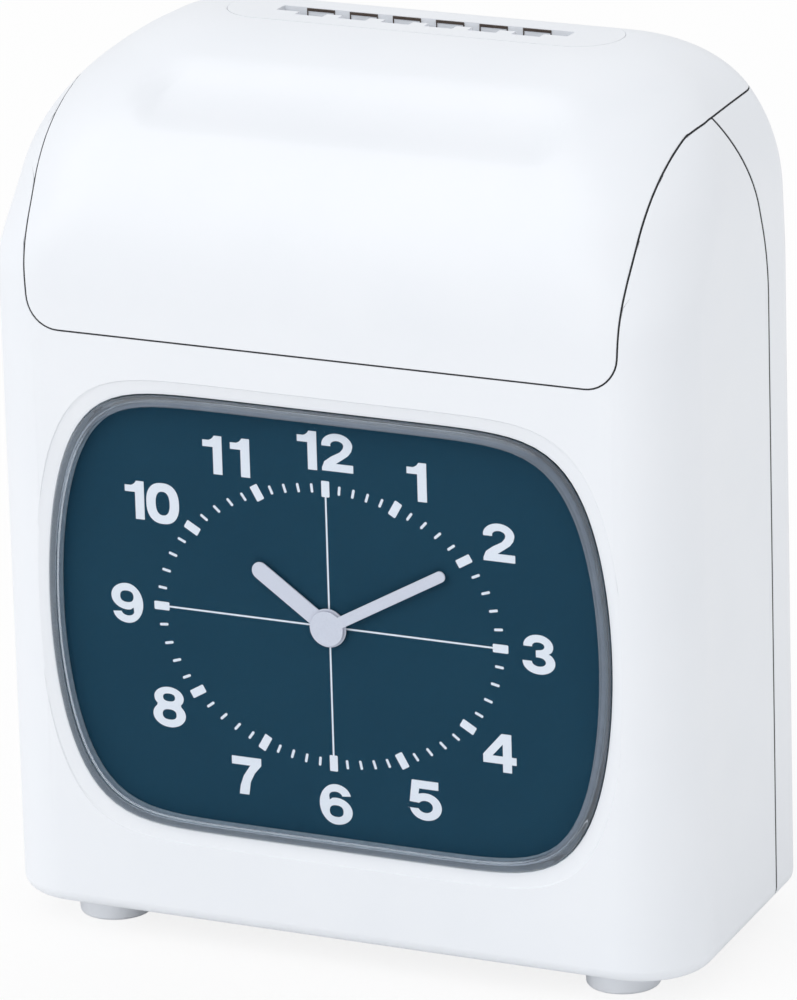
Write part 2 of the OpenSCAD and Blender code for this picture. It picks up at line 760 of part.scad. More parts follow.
pillar_d = 4;
pillar_in = 4;
pillars = [for (sx = [-1, 1], sz = [-1, 1])
    [sx * (plate_w / 2 - pillar_in), dial_z + sz * (plate_h / 2 - pillar_in)]];
idler_d = 1.6;
motor_shaft_d = 1.6;
idler_z = dial_z - train_centre;
module movement_outline() {
    translate([-plate_w / 2, dial_z - plate_h / 2]) square([plate_w, plate_h]);
}
module movement_front_plate() {
    color(brass_yellow) difference() {
        plate_y(at_depth(plate_in), at_depth(gear_in)) movement_outline();
        bar_y(front_y, back_y, 0, dial_z, pipe_d + 2 * run_fit);
        bar_y(front_y, back_y, 0, idler_z, idler_d + 2 * run_fit);
    }
}
module movement_back_plate() {
    color(brass_yellow) difference() {
        union() {
            plate_y(at_depth(back_plate_in), at_depth(back_plate_in + plate_t)) movement_outline();
            for (p = pillars) bar_y(at_depth(gear_in), at_depth(back_plate_in), p[0], p[1], pillar_d);
        }
        bar_y(front_y, back_y, 0, dial_z, arbor_d + 2 * run_fit);
        bar_y(front_y, back_y, 0, idler_z, idler_d + 2 * run_fit);
        bar_y(front_y, back_y, motor_centre, dial_z, motor_shaft_d + 2 * run_fit);
    }
}

cannon_teeth = 12;
idler_teeth = 36;
idler_leaves = 10;
hour_teeth = 40;
centre_teeth = 60;
motor_teeth = 10;
arbor_end = 0.5;
first_module = 2 * train_centre / (cannon_teeth + idler_teeth);
second_module = 2 * train_centre / (idler_leaves + hour_teeth);
motor_module = 2 * motor_centre / (centre_teeth + motor_teeth);
module minute_arbor() {
    color(brass_yellow) {
        bar_y(at_depth(minute_in + hand_t), at_depth(back_plate_in + plate_t + arbor_end), 0, dial_z,
            arbor_d);
        gear(cannon_teeth, first_module, pinion_tip, at_depth(cannon_gear[0]), at_depth(cannon_gear[1]),
            0, dial_z, -90);
        gear(centre_teeth, motor_module, wheel_tip, at_depth(centre_gear[0]), at_depth(centre_gear[1]),
            0, dial_z, 180 / centre_teeth);
    }
}
module hour_wheel() {
    color(brass_yellow) difference() {
        union() {
            bar_y(at_depth(hour_in), at_depth(hour_gear[1] + 0.8), 0, dial_z, pipe_d);
            gear(hour_teeth, second_module, wheel_tip, at_depth(hour_gear[0]), at_depth(hour_gear[1]),
                0, dial_z, -90 + 180 / hour_teeth);
        }
        bar_y(front_y, back_y, 0, dial_z, arbor_d + 2 * run_fit);
    }
}
module minute_wheel() {
    color(brass_yellow) {
        bar_y(at_depth(plate_in + 0.1), at_depth(back_plate_in + plate_t), 0, idler_z, idler_d);
        gear(idler_teeth, first_module, wheel_tip, at_depth(cannon_gear[0]), at_depth(cannon_gear[1]),
            0, idler_z, 90 + 180 / idler_teeth);
        gear(idler_leaves, second_module, pinion_tip, at_depth(hour_gear[0]), at_depth(hour_gear[1]),
            0, idler_z, 90);
    }
}
motor_back_in = back_plate_in + plate_t;
clock_motor_t = 11;
motor_ear = [28, 8, 1];
motor_bore = 5;
module clock_motor() {
    color(steel_grey) difference() {
        union() {
            bar_y(at_depth(motor_back_in), at_depth(motor_back_in + clock_motor_t), motor_centre, dial_z,
                clock_motor_d);
            block([motor_centre - motor_ear[0] / 2, at_depth(motor_back_in), dial_z - motor_ear[1] / 2],
                [motor_centre + motor_ear[0] / 2, at_depth(motor_back_in + motor_ear[2]),
                    dial_z + motor_ear[1] / 2]);
        }
        bar_y(front_y, at_depth(motor_back_in + motor_bore), motor_centre, dial_z,
            motor_shaft_d + 2 * run_fit);
        bar_y(front_y, at_depth(motor_back_in + arbor_end + 1), 0, dial_z, arbor_d + 1);
    }
}
module motor_pinion() {
    color(brass_yellow) {
        bar_y(at_depth(centre_gear[0] - 1), at_depth(motor_back_in + motor_bore - 0.2), motor_centre, dial_z,
            motor_shaft_d);
        gear(motor_teeth, motor_module, pinion_tip, at_depth(centre_gear[0]), at_depth(centre_gear[1]),
            motor_centre, dial_z, 180);
    }
}

// Print line, where the head strikes the card
print_rise = 13.5;
print_z = rod_z + print_rise;
nose_half = 5;
platen_half = carriage_travel + nose_half + 2;
platen_h = 9.4;
platen_fit = 0.1;
shelf_top_z = shelf_z + chassis_t;
stop_ahead = 11;
stop_y = slot_y - stop_ahead;
board_gap = 7;
board_y = chassis_back_y + board_gap;
board_half = 54;
board_z = [72, 168];
standoff_in = 5;
standoff_d = 5;
standoffs = [for (sx = [-1, 1], z = [board_z[0] + standoff_in, board_z[1] - standoff_in])
    [sx * (board_half - standoff_in), z]];
module chassis() {
    color(steel_grey) difference() {
        union() {
            block([-chassis_w / 2, chassis_y, shelf_z], [chassis_w / 2, chassis_back_y, chute_z1]);
            block([-chassis_w / 2, slot_y - shelf_reach, shelf_z],
                [chassis_w / 2, chassis_y + chassis_t / 2, shelf_top_z]);
            for (p = standoffs) bar_y(chassis_back_y - chassis_t / 2, board_y, p[0], p[1], standoff_d);
        }
        block([-platen_half - platen_fit, chassis_y - 1, print_z - platen_h / 2 - platen_fit],
            [platen_half + platen_fit, chassis_back_y + 1, print_z + platen_h / 2 + platen_fit]);
        bar_z(0, case_h, -stop_x, stop_y, stop_rod_d + 2 * fixed_fit);
    }
}

chute_y = slot_y - slot_gap / 2;
rail_w = 5.5;
rail_play = 0.5;
print_gap = 12;
stop_h = 10;
stop_travel = frame_z - stop_headroom - stop_h - stop_z;
tongue_half = 3.5;
tongue_z = [stop_z + 5, stop_z + 8];
tongue_play = 1;
tongue_end = 4;
module chute_front() {
    half = slot_len / 2 + rail_play + rail_w;
    color(steel_grey) difference() {
        union() {
            block([-half, chute_y - chute_t, chute_z0], [half, chute_y, chute_z1]);
            for (side = [-1, 1])
                block([side > 0 ? half - rail_w : -half, chute_y - 0.1, chute_z0],
                    [side > 0 ? half : -half + rail_w, chassis_y, chute_z1]);
        }
        block([-platen_half, chute_y - past, print_z - print_gap / 2],
            [platen_half, chute_y + 0.5, print_z + print_gap / 2]);
        block([-tongue_half - tongue_play, chute_y - past, tongue_z[0] - 2 * tongue_end - tongue_play],
            [tongue_half + tongue_play, chute_y + 0.5, tongue_z[1] + stop_travel + tongue_end]);
    }
}
platen_lap = [5, 3];
platen_back_t = 2.5;
module platen() {
    half_h = platen_h / 2;
    color(dark_plastic) {
        block([-platen_half, chassis_y, print_z - half_h], [platen_half, chassis_back_y, print_z + half_h]);
        block([-platen_half - platen_lap[0], chassis_back_y, print_z - half_h - platen_lap[1]],
            [platen_half + platen_lap[0], chassis_back_y + platen_back_t, print_z + half_h + platen_lap[1]]);
    }
}

// Printer frame, with the carriage on a rod and a spiral shaft between its side plates
side_t = 1.5;
frame_front_y = slot_y - 38;
rod_y = slot_y - 32;
spiral_y = slot_y - 17;
cassette_y = [slot_y - 39, slot_y - 8];
cassette_z = [rod_z + 25.5, rod_z + 37.5];
rest_y = [cassette_y[0] + 4, cassette_y[0] + 16];
rest_w = 4;
module printer_frame() {
    half = frame_gap / 2;
    color(steel_grey) difference() {
        union() {
            for (side = [-1, 1]) {
                block([side > 0 ? half : -half - side_t, frame_front_y, frame_z],
                    [side > 0 ? half + side_t : -half, chassis_y, cassette_z[1]]);
                block([side > 0 ? half - rest_w : -half - side_t / 3, rest_y[0], cassette_z[0] - side_t],
                    [side > 0 ? half + side_t / 3 : -half + rest_w, rest_y[1], cassette_z[0]]);
            }
            block([-half - side_t / 3, frame_front_y, frame_z],
                [half + side_t / 3, chute_y - chute_t, frame_z + side_t]);
        }
        bar_x(-case_w, case_w, rod_y, rod_z, rod_d + 2 * fixed_fit);
        bar_x(-case_w, case_w, spiral_y, rod_z, spiral_d + 2 * run_fit);
        bar_z(0, case_h, stop_x, stop_y, stop_screw_d + 2 * run_fit);
        bar_z(0, case_h, -stop_x, stop_y, stop_rod_d + 2 * fixed_fit);
    }
}
module carriage_rod() {
    color(steel_grey) bar_x(-frame_gap / 2 - side_t, frame_gap / 2 + side_t, rod_y, rod_z, rod_d);
}
carriage_z = [rod_z - 5.5, rod_z + 6];
carriage_y = [rod_y - 6, slot_y - 10];
module print_carriage() {
    color(dark_plastic) difference() {
        block([-carriage_len / 2, carriage_y[0], carriage_z[0]],
            [carriage_len / 2, carriage_y[1], carriage_z[1]]);
        bar_x(-case_w, case_w, rod_y, rod_z, rod_d + 2 * run_fit);
        bar_x(-case_w, case_w, spiral_y, rod_z, spiral_d + 2 * run_fit);
    }
}
ribbon_t = 0.4;
ribbon_h = 10;
ribbon_y = chute_y - chute_t - 0.9;
head_half = 9;
head_len = 18;
nose_len = 5;
nose_h = 8;
fin_half = 11;
fin_pitch = 3;
fin_t = 1.2;
module print_head() {
    top_z = cassette_z[0] - 3;
    nose_y = ribbon_y - 0.5;
    color(dark_plastic) {
        block([-head_half, nose_y - head_len, carriage_z[1]], [head_half, nose_y - nose_len, top_z]);
        block([-nose_half, nose_y - nose_len - 0.5, print_z - nose_h / 2],
            [nose_half, nose_y, print_z + nose_h / 2]);
        for (z = [carriage_z[1] + fin_pitch:fin_pitch:top_z - fin_pitch])
            block([-fin_half, nose_y - head_len + 1, z], [fin_half, nose_y - nose_len - 1, z + fin_t]);
    }
}
shaft_in_motor = 8;
shaft_stub = 1;
groove_pitch = 6;
groove_w = 1.6;
groove_in = 0.4;
module spiral_shaft() {
    run = carriage_travel + carriage_len / 2 + 11;
    half = frame_gap / 2 + side_t;
    color(steel_grey) difference() {
        bar_x(-half - shaft_stub, half + shaft_in_motor, spiral_y, rod_z, spiral_d);
        for (x = [-run:groove_pitch:run])
            translate([x, spiral_y, rod_z]) rotate([0, 90, 0]) rotate_extrude($fn = 32)
                translate([spiral_d / 2 - groove_in, 0]) square([1, groove_w]);
    }
}
motor_len = 19;
module carriage_motor() {
    x0 = frame_gap / 2 + side_t;
    color(steel_grey) difference() {
        bar_x(x0, x0 + motor_len, spiral_y, rod_z, drive_motor_d);
        bar_x(x0 - 1, x0 + shaft_in_motor + 0.5, spiral_y, rod_z, spiral_d + 2 * run_fit);
    }
}

knob_x = -38;
knob_y = slot_y - 27;
knob_d = 14;
knob_h = 4;
knob_grip = [12, 2, 1.2];
knob_spindle_d = 5;
knob_bore = 8;
cassette_half = frame_gap / 2 - free_gap;
arm_w = 6;
arm_len = 4;
module ribbon_cassette() {
    color(dark_plastic) difference() {
        union() {
            block([-cassette_half, cassette_y[0], cassette_z[0]],
                [cassette_half, cassette_y[1], cassette_z[1]]);
            for (side = [-1, 1])
                block([side > 0 ? cassette_half - arm_w : -cassette_half, cassette_y[1] - arm_len,
                    print_z - ribbon_h / 2], [side > 0 ? cassette_half : -cassette_half + arm_w,
                    ribbon_y + ribbon_t, cassette_z[0] + 1]);
            block([-cassette_half + 1, ribbon_y, print_z - ribbon_h / 2],
                [cassette_half - 1, ribbon_y + ribbon_t, print_z + ribbon_h / 2]);
        }
        bar_z(cassette_z[1] - knob_bore, case_h, knob_x, knob_y, knob_spindle_d + 2 * run_fit);
    }
}
module ribbon_knob() {
    top = cassette_z[1] + knob_h;
    color(shell_white) {
        bar_z(cassette_z[1] + 0.2, top, knob_x, knob_y, knob_d);
        bar_z(cassette_z[1] - knob_bore + 0.2, cassette_z[1] + 0.5, knob_x, knob_y, knob_spindle_d);
        block([knob_x - knob_grip[0] / 2, knob_y - knob_grip[1] / 2, top - 0.2],
            [knob_x + knob_grip[0] / 2, knob_y + knob_grip[1] / 2, top + knob_grip[2]]);
    }
}

// Card stop, which a screw lifts along a rod to set the printed line
stop_half_w = 5.5;
stop_half_deep = 5;
module card_stop() {
    color(dark_plastic) difference() {
        union() {
            block([-stop_x - stop_half_w, stop_y - stop_half_deep, stop_z],
                [stop_x + stop_half_w, stop_y + stop_half_deep, stop_z + stop_h]);
            block([-tongue_half, stop_y + stop_half_deep - 1, tongue_z[0]],
                [tongue_half, chassis_y - 0.5, tongue_z[1]]);
        }
        bar_z(0, case_h, stop_x, stop_y, stop_screw_d + 2 * run_fit);
        bar_z(0, case_h, -stop_x, stop_y, stop_rod_d + 2 * run_fit);
    }
}
stop_motor_h = 20;
screw_in_motor = 6;
module stop_screw() {
    color(steel_grey) bar_z(shelf_top_z + stop_motor_h - screw_in_motor, frame_z + side_t + 0.8,
        stop_x, stop_y, stop_screw_d);
}
module stop_guide_rod() {
    color(steel_grey) bar_z(shelf_z, frame_z + side_t, -stop_x, stop_y, stop_rod_d);
}
module stop_motor() {
    color(steel_grey) difference() {
        bar_z(shelf_top_z, shelf_top_z + stop_motor_h, stop_x, stop_y - 1, drive_motor_d);
        bar_z(shelf_top_z + stop_motor_h - screw_in_motor - 0.3, case_h, stop_x, stop_y,
            stop_screw_d + 2 * run_fit);
    }
}

// Circuit board on the chassis's standoffs, with two chips, a connector and three capacitors
board_t = 1.6;
chip_h = 3;
connector_h = 5;
capacitor_d = 7;
capacitor_h = 5.5;
capacitor_pitch = 9;
module control_board() {
    face = board_y + board_t;
    base = face - 0.1;
    mid = (board_z[0] + board_z[1]) / 2;
    color([0.10, 0.36, 0.22]) union() {
        block([-board_half, board_y, board_z[0]], [board_half, face, board_z[1]]);
        block([-20, base, mid - 10], [14, face + chip_h, mid + 2]);
        block([-board_half + 10, base, board_z[0] + 12], [-board_half + 32, face + chip_h, board_z[0] + 24]);
        block([board_half - 32, base, board_z[0] + 6], [board_half - 8, face + connector_h, board_z[0] + 14]);
        for (i = [1:3])
            bar_y(base, face + capacitor_h, board_half - 1 - i * capacitor_pitch, mid + 20, capacitor_d);
    }
}

// Transformer on the shelf: coil, iron core and two fixing ears
transformer_x = [-66, -20];
coil_h = 40;
core_z = [7, 33];
coil_in = 6;
core_lap = 3;
ear_len = 7;
module transformer() {
    x0 = transformer_x[0];
    x1 = transformer_x[1];
    y0 = slot_y - shelf_reach + 3;
    y1 = chute_y - chute_t - 4;
    color(dark_plastic) {
        block([x0 + coil_in, y0 + core_lap, shelf_top_z],
            [x1 - coil_in, y1 - core_lap, shelf_top_z + coil_h]);
        block([x0, y0, shelf_top_z + core_z[0]], [x1, y1, shelf_top_z + core_z[1]]);
        for (x = [x0, x1 - ear_len])
            block([x, y0 + core_lap, shelf_top_z], [x + ear_len, y1 - core_lap, shelf_top_z + chassis_t]);
    }
}

gland_side_in = 35.5;
gland_x = -case_w / 2 + gland_side_in;
gland_z = 52;
gland_d = 14;
gland_flange = 2.5;
gland_bore = 7;
module cord_gland() {
    color(dark_plastic) difference() {
        union() {
            bar_y(inner_back_y - 6, back_y - free_gap, gland_x, gland_z, gland_d);
            bar_y(inner_back_y - 3, inner_back_y - 0.1, gland_x, gland_z, gland_d + 2 * gland_flange);
        }
        bar_y(front_y, back_y + past, gland_x, gland_z, gland_bore);
    }
}

// Steel plate behind a window in the back, with two keyholes for wall screws
keyhole_z = case_h - keyhole_drop;
keyhole_rise = 8;
plate_z0 = keyhole_z - 11;
plate_z1 = keyhole_z + 17;
plate_half = 56;
plate_lap = 3;
wall_plate_t = 1.5;
module wall_plate() {
    neck = keyhole_neck_d / 2;
    color(steel_grey) difference() {
        block([-plate_half, inner_back_y - wall_plate_t, plate_z0], [plate_half, inner_back_y, plate_z1]);
        for (x = [-keyhole_pitch / 2, keyhole_pitch / 2]) {
            bar_y(front_y, back_y, x, keyhole_z, keyhole_d);
            bar_y(front_y, back_y, x, keyhole_z + keyhole_rise, keyhole_neck_d);
            block([x - neck, 0, keyhole_z], [x + neck, back_y, keyhole_z + keyhole_rise]);
        }
    }
}

lock_y = at_depth(lock_in);
lock_z = case_h - lock_drop;
lock_x = -(case_w / 2) * taper_at(lock_y);
lock_len = 16;
lock_rim = 1.5;
lock_rim_t = 1.2;
lock_rim_out = 0.9;
module lock_barrel() {
    flange_x = lock_x - lock_rim_out;
    color(steel_grey) difference() {
        union() {
            bar_x(flange_x, lock_x + lock_len, lock_y, lock_z, lock_d);
            bar_x(flange_x - lock_rim_t, flange_x, lock_y, lock_z, lock_d + 2 * lock_rim);
        }
        bar_x(-case_w, 0, lock_y, lock_z, lock_plug_d + 2 * run_fit);
    }
}
cam_len = 17;
cam_half = 4;
cam_t = 2;
key_slot = [12, 6, 1.2];
module lock_plug() {
    face_x = lock_x - lock_rim_out - lock_rim_t + free_gap;
    x1 = lock_x + lock_len;
    color(brass_yellow) difference() {
        union() {
            bar_x(face_x, x1 + cam_t + 0.5, lock_y, lock_z, lock_plug_d);
            block([x1 + free_gap, lock_y - cam_half, lock_z - cam_len],
                [x1 + free_gap + cam_t, lock_y + cam_half, lock_z]);
        }
        block([face_x - 1, lock_y - key_slot[1] / 2, lock_z - key_slot[2] / 2],
            [face_x + key_slot[0], lock_y + key_slot[1] / 2, lock_z + key_slot[2] / 2]);
    }
}

// Setting buttons on a shelf that the apron covers
button_in = 20;
button_deep = 7;
button_y = at_depth(button_in);
button_stand = button_travel + 1.8;
button_skirt = 1.4;
panel_reach = 12;
module switch_panel() {
    color(dark_plastic) difference() {
        block([-panel_half, at_depth(wall + free_gap), panel_z],
            [panel_half, button_y + panel_reach, panel_z + panel_t]);
        for (i = [-1:1]) button_block(i, 0.25, panel_z - 1, panel_z + panel_t + 1);
    }
}
module button_block(i, grow, z0, z1) {
    half = button_w / 2 + grow;
    deep = button_deep / 2 + grow;
    x = i * button_pitch;
    block([x - half, button_y - deep, z0], [x + half, button_y + deep, z1]);
}
module set_button(i) {
    color(shell_white) {
        button_block(i, 0, panel_z - 0.5, panel_z + panel_t + button_stand);
        button_block(i, button_skirt, panel_z - 1.5, panel_z - 0.1);
    }
}
module set_button_left() { set_button(-1); }
module set_button_middle() { set_button(0); }
module set_button_right() { set_button(1); }

screw_slot = [4, 1, 1.2];
module case_screws() {
    head_y = back_y - screw_head_in;
    color(steel_grey) for (spot = screw_spots) difference() {
        union() {
            bar_y(screw_tip_y, head_y, spot[0], spot[1], screw_d);
            bar_y(head_y - screw_head_h, head_y, spot[0], spot[1], screw_head_d);
        }
        block([spot[0] - screw_slot[0] / 2, head_y - screw_slot[2], spot[1] - screw_slot[1] / 2],
            [spot[0] + screw_slot[0] / 2, back_y, spot[1] + screw_slot[1] / 2]);
    }
}

front_case();
rear_case();
top_cover();
slot_guide();
case_hinge_leaf();
cover_hinge_leaf();
hinge_pin();
feet();
window_lens();
dial_plate();
hour_hand();
minute_hand();
movement_front_plate();
movement_back_plate();
minute_arbor();
hour_wheel();
minute_wheel();
clock_motor();
motor_pinion();
chassis();
chute_front();
platen();
printer_frame();
carriage_rod();
print_carriage();
print_head();
spiral_shaft();
carriage_motor();
ribbon_cassette();
ribbon_knob();
card_stop();
stop_screw();
stop_guide_rod();
stop_motor();
control_board();
transformer();
cord_gland();
wall_plate();
lock_barrel();
lock_plug();
switch_panel();
set_button_left();
set_button_middle();
set_button_right();
case_screws();
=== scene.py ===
import json
import math

import bpy
from mathutils import Matrix, Vector


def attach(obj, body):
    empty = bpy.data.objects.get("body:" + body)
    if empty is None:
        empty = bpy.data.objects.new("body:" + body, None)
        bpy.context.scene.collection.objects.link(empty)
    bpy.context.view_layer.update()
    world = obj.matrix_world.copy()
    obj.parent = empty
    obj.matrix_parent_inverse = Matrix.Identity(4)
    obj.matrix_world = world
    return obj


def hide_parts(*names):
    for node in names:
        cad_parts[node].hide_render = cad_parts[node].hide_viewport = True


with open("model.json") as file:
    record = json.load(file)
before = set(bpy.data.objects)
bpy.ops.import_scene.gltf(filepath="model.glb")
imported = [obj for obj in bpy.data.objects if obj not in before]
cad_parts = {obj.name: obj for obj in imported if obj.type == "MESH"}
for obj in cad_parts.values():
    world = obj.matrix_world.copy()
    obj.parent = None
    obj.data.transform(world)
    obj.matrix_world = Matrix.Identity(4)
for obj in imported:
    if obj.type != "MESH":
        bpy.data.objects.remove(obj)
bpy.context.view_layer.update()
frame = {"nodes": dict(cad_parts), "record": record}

# Rear case: the back half of the casing, with bosses for the four screws and posts for the chassis.
# Injection-moulded white ABS, 2.6 mm thick. Its loaf shape, shared with the front case and the hood,
# is curved two ways and has no primitive near it, so it is lofted from level sections.
MM = 0.001
# The width is a hair under 211 mm, so that rounding keeps the shell inside the frame's box.
case_w, case_d, case_h = 210.95 * MM, 97 * MM, 251.5 * MM
front_y, back_y = -48 * MM, 49 * MM
wall = 2.6 * MM
side_taper = 6.5 * MM
front_arc, rear_arc, shoulder_r = 64.5 * MM, 16 * MM, 42 * MM
edge_r, edge_top_r, rear_edge_r, rear_top_r, base_r = 21.5 * MM, 33 * MM, 10 * MM, 12 * MM, 4 * MM
edge_blend = (-20 * MM, 5 * MM)
edge_share, rear_edge_share = 0.55, 0.4
foot_h = 7.5 * MM
arc_z, rear_arc_z, shoulder_z = case_h - front_arc, case_h - rear_arc, case_h - shoulder_r
corner_steps, base_steps, arc_steps = 13, 6, 36
seam, split_seam = 0.45 * MM, 1 * MM
split_y, split_lean_z, split_lean_r, split_lean = 26.7 * MM, 182.5 * MM, 55 * MM, 22.3
apron_low_half, apron_top_half, apron_r = 87.7 * MM, 91.2 * MM, 9 * MM
apron_z, apron_top_z = 175.4 * MM, 234.5 * MM
shoulder_seam = [(y * MM, z * MM) for y, z in (
    (-90, 226), (-15.7, 234.2), (-6.9, 235.2), (-0.6, 236), (7, 236.5), (24, 236.6), (90, 236.6))]
past = 20 * MM
edge_round, sharp_turn, smooth_turn = 0.22 * MM, math.radians(50), math.radians(12)


def base_inset(z, t):
    drop = max(0, foot_h + base_r - z)
    return base_r - math.sqrt(max(0, (base_r - t) ** 2 - drop ** 2))


def arc_reach(z, start, radius, t):
    return math.sqrt(max(0, (radius - t) ** 2 - max(0, z - start) ** 2))


def taper_at(y):
    return 1 - (y - front_y) / case_d * side_taper / (case_w / 2)


def casing_section(z, t, front_steps):
    """Rounded outline of the casing at height z, t inside its outer surface."""
    foot = base_inset(z, t)
    y0 = front_y + (foot if z <= arc_z else front_arc - arc_reach(z, arc_z, front_arc, t))
    y1 = back_y - (foot if z <= rear_arc_z else rear_arc - arc_reach(z, rear_arc_z, rear_arc, t))
    half = case_w / 2 - (foot if z <= shoulder_z else shoulder_r - arc_reach(z, shoulder_z, shoulder_r, t))
    inset = foot if z <= arc_z else t
    grown = min(1, max(0, (z - shoulder_z - edge_blend[0]) / (edge_blend[1] - edge_blend[0])))
    grown = grown ** 2 * (3 - 2 * grown)
    r_front = min(edge_r + (edge_top_r - edge_r) * grown - inset, edge_share * (y1 - y0))
    r_rear = min(rear_edge_r + (rear_top_r - rear_edge_r) * grown - inset, rear_edge_share * (y1 - y0))
    flat = half - r_front
    outline = [(flat * (2 * k / front_steps - 1), y0) for k in range(1, front_steps)]
    for cx, cy, r, start in ((flat, y0 + r_front, r_front, -90), (half - r_rear, y1 - r_rear, r_rear, 0),
                             (r_rear - half, y1 - r_rear, r_rear, 90), (-flat, y0 + r_front, r_front, 180)):
        angles = [math.radians(start + 90 * k / corner_steps) for k in range(corner_steps + 1)]
        outline += [(cx + r * math.cos(a), cy + r * math.sin(a)) for a in angles]
    return [Vector((x * taper_at(y), y, z)) for x, y in outline]


def new_piece(name, points, faces):
    mesh = bpy.data.meshes.new(name)
    mesh.from_pydata(points, [], faces)
    piece = bpy.data.objects.new(name, mesh)
    bpy.context.scene.collection.objects.link(piece)
    return piece


def loaf(name, *insets, front_steps=1, rise_steps=arc_steps, press=None):
    """Closed form of the casing; a second inset adds the wall's inner surface, and press dents a point."""
    points, faces = [], []
    for t in insets:
        first = len(points)
        heights = [foot_h + base_r - (base_r - t) * math.cos(math.pi / 2 * k / base_steps)
                   for k in range(base_steps + 1)]
        heights += [arc_z + (front_arc - t) * math.sin(math.pi / 2 * k / rise_steps)
                    for k in range(rise_steps + 1)]
        sections = [casing_section(z, t, front_steps) for z in heights]
        count = len(sections[0])
        points += [press(p, t) if press else p for ring in sections for p in ring]
        shell = [[first + i * count + j, first + i * count + (j + 1) % count,
                  first + (i + 1) * count + (j + 1) % count, first + (i + 1) * count + j]
                 for i in range(len(sections) - 1) for j in range(count)]
        shell.append([first + j for j in range(count)][::-1])
        shell.append([first + (len(sections) - 1) * count + j for j in range(count)])
        faces += shell if t == insets[0] else [face[::-1] for face in shell]
    return new_piece(name, points, faces)


def select_only(*pieces):
    bpy.ops.object.select_all(action="DESELECT")
    for piece in pieces:
        piece.select_set(True)
    bpy.context.view_layer.objects.active = pieces[0]


def edit_all(piece):
    select_only(piece)
    bpy.ops.object.mode_set(mode="EDIT")
    bpy.ops.mesh.select_all(action="SELECT")


def close_edit():
    """Turns all faces outwards and leaves edit mode."""
    bpy.ops.mesh.select_all(action="SELECT")
    bpy.ops.mesh.normals_make_consistent(inside=False)
    bpy.ops.object.mode_set(mode="OBJECT")


def edit_edges(piece, wanted):
    """Opens a piece in edit mode, with the edges that pass a test selected."""
    select_only(piece)
    bpy.ops.object.mode_set(mode="EDIT")
    bpy.ops.mesh.select_mode(type="EDGE")
    bpy.ops.mesh.select_all(action="DESELECT")
    bpy.ops.object.mode_set(mode="OBJECT")
    for edge in piece.data.edges:
        edge.select = wanted(edge)
    bpy.ops.object.mode_set(mode="EDIT")


def close_edges():
    bpy.ops.mesh.select_mode(type="VERT")
    bpy.ops.object.mode_set(mode="OBJECT")


def apply_modifier(piece, kind, **settings):
    select_only(piece)
    modifier = piece.modifiers.new(kind, kind)
    for name, value in settings.items():
        setattr(modifier, name, value)
    bpy.ops.object.modifier_apply(modifier=kind)


def cut(piece, tool, operation="DIFFERENCE"):
    apply_modifier(piece, "BOOLEAN", object=tool, operation=operation, solver="EXACT")
    bpy.data.objects.remove(tool)


def block(name, low, high):
    middle = [(a + b) / 2 for a, b in zip(low, high)]
    bpy.ops.mesh.primitive_cube_add(size=1, location=middle, scale=[b - a for a, b in zip(low, high)])
    piece = bpy.context.object
    piece.name = name
    bpy.ops.object.transform_apply()
    return piece


def rod(name, start, end, diameter, vertices=48):
    start, end = Vector(start), Vector(end)
    bpy.ops.mesh.primitive_cylinder_add(vertices=vertices, radius=diameter / 2, depth=(end - start).length,
                                        location=(start + end) / 2,
                                        rotation=(end - start).to_track_quat("Z", "Y").to_euler())
    piece = bpy.context.object
    piece.name = name
    bpy.ops.object.transform_apply()
    return piece


def prism(name, outline, reach):
    """Solid on a flat outline of 3-D points, extruded by a vector."""
    piece = new_piece(name, outline, [list(range(len(outline)))])
    edit_all(piece)
    bpy.ops.mesh.extrude_region_move(TRANSFORM_OT_translate={"value": reach})
    close_edit()
    return piece


def split_region(shift):
    """Everything ahead of the split between the cases, which bends near the top and leans forward."""
    steps = 8
    angles = [math.radians(split_lean * k / steps) for k in range(steps + 1)]
    lean = [(-case_w, split_y + shift - split_lean_r * (1 - math.cos(a)),
             split_lean_z + split_lean_r * math.sin(a)) for a in angles]
    rise = case_h + past - lean[-1][2]
    lean.append((-case_w, lean[-1][1] - rise * math.tan(angles[-1]), case_h + past))
    outline = [(-case_w, front_y - past, case_h + past), (-case_w, front_y - past, -past),
               (-case_w, split_y + shift, -past)] + lean
    return prism("split_region", outline, (2 * case_w, 0, 0))


def hood_region(grow):
    """Solid that holds the hood: the apron with its round lower corners, and all above the shoulder seam."""
    low, r = apron_z - grow, apron_r + grow
    lean = (apron_top_half - apron_low_half) / (apron_top_z - apron_z)
    half, top_half = apron_low_half + grow, apron_low_half + grow + lean * (case_h + past - apron_z)
    steps = 10
    outline = []
    for side, start in ((-1, 180), (1, 270)):
        for k in range(steps + 1):
            a = math.radians(start + 90 * k / steps)
            z = low + r + r * math.sin(a)
            outline.append((side * (half - r + lean * (z - low)) + r * math.cos(a), front_y - past, z))
    outline += [(top_half, front_y - past, case_h + past), (-top_half, front_y - past, case_h + past)]
    region = prism("hood_region", outline, (0, past - front_y, 0))
    top = case_h + 2 * past
    crest = [(-case_w, y, z - grow) for y, z in shoulder_seam]
    crest += [(-case_w, shoulder_seam[-1][0], top), (-case_w, shoulder_seam[0][0], top)]
    cut(region, prism("upper", crest, (2 * case_w, 0, 0)), "UNION")
    return region


def smooth(piece, degrees=30):
    select_only(piece)
    bpy.ops.object.shade_smooth_by_angle(angle=math.radians(degrees))


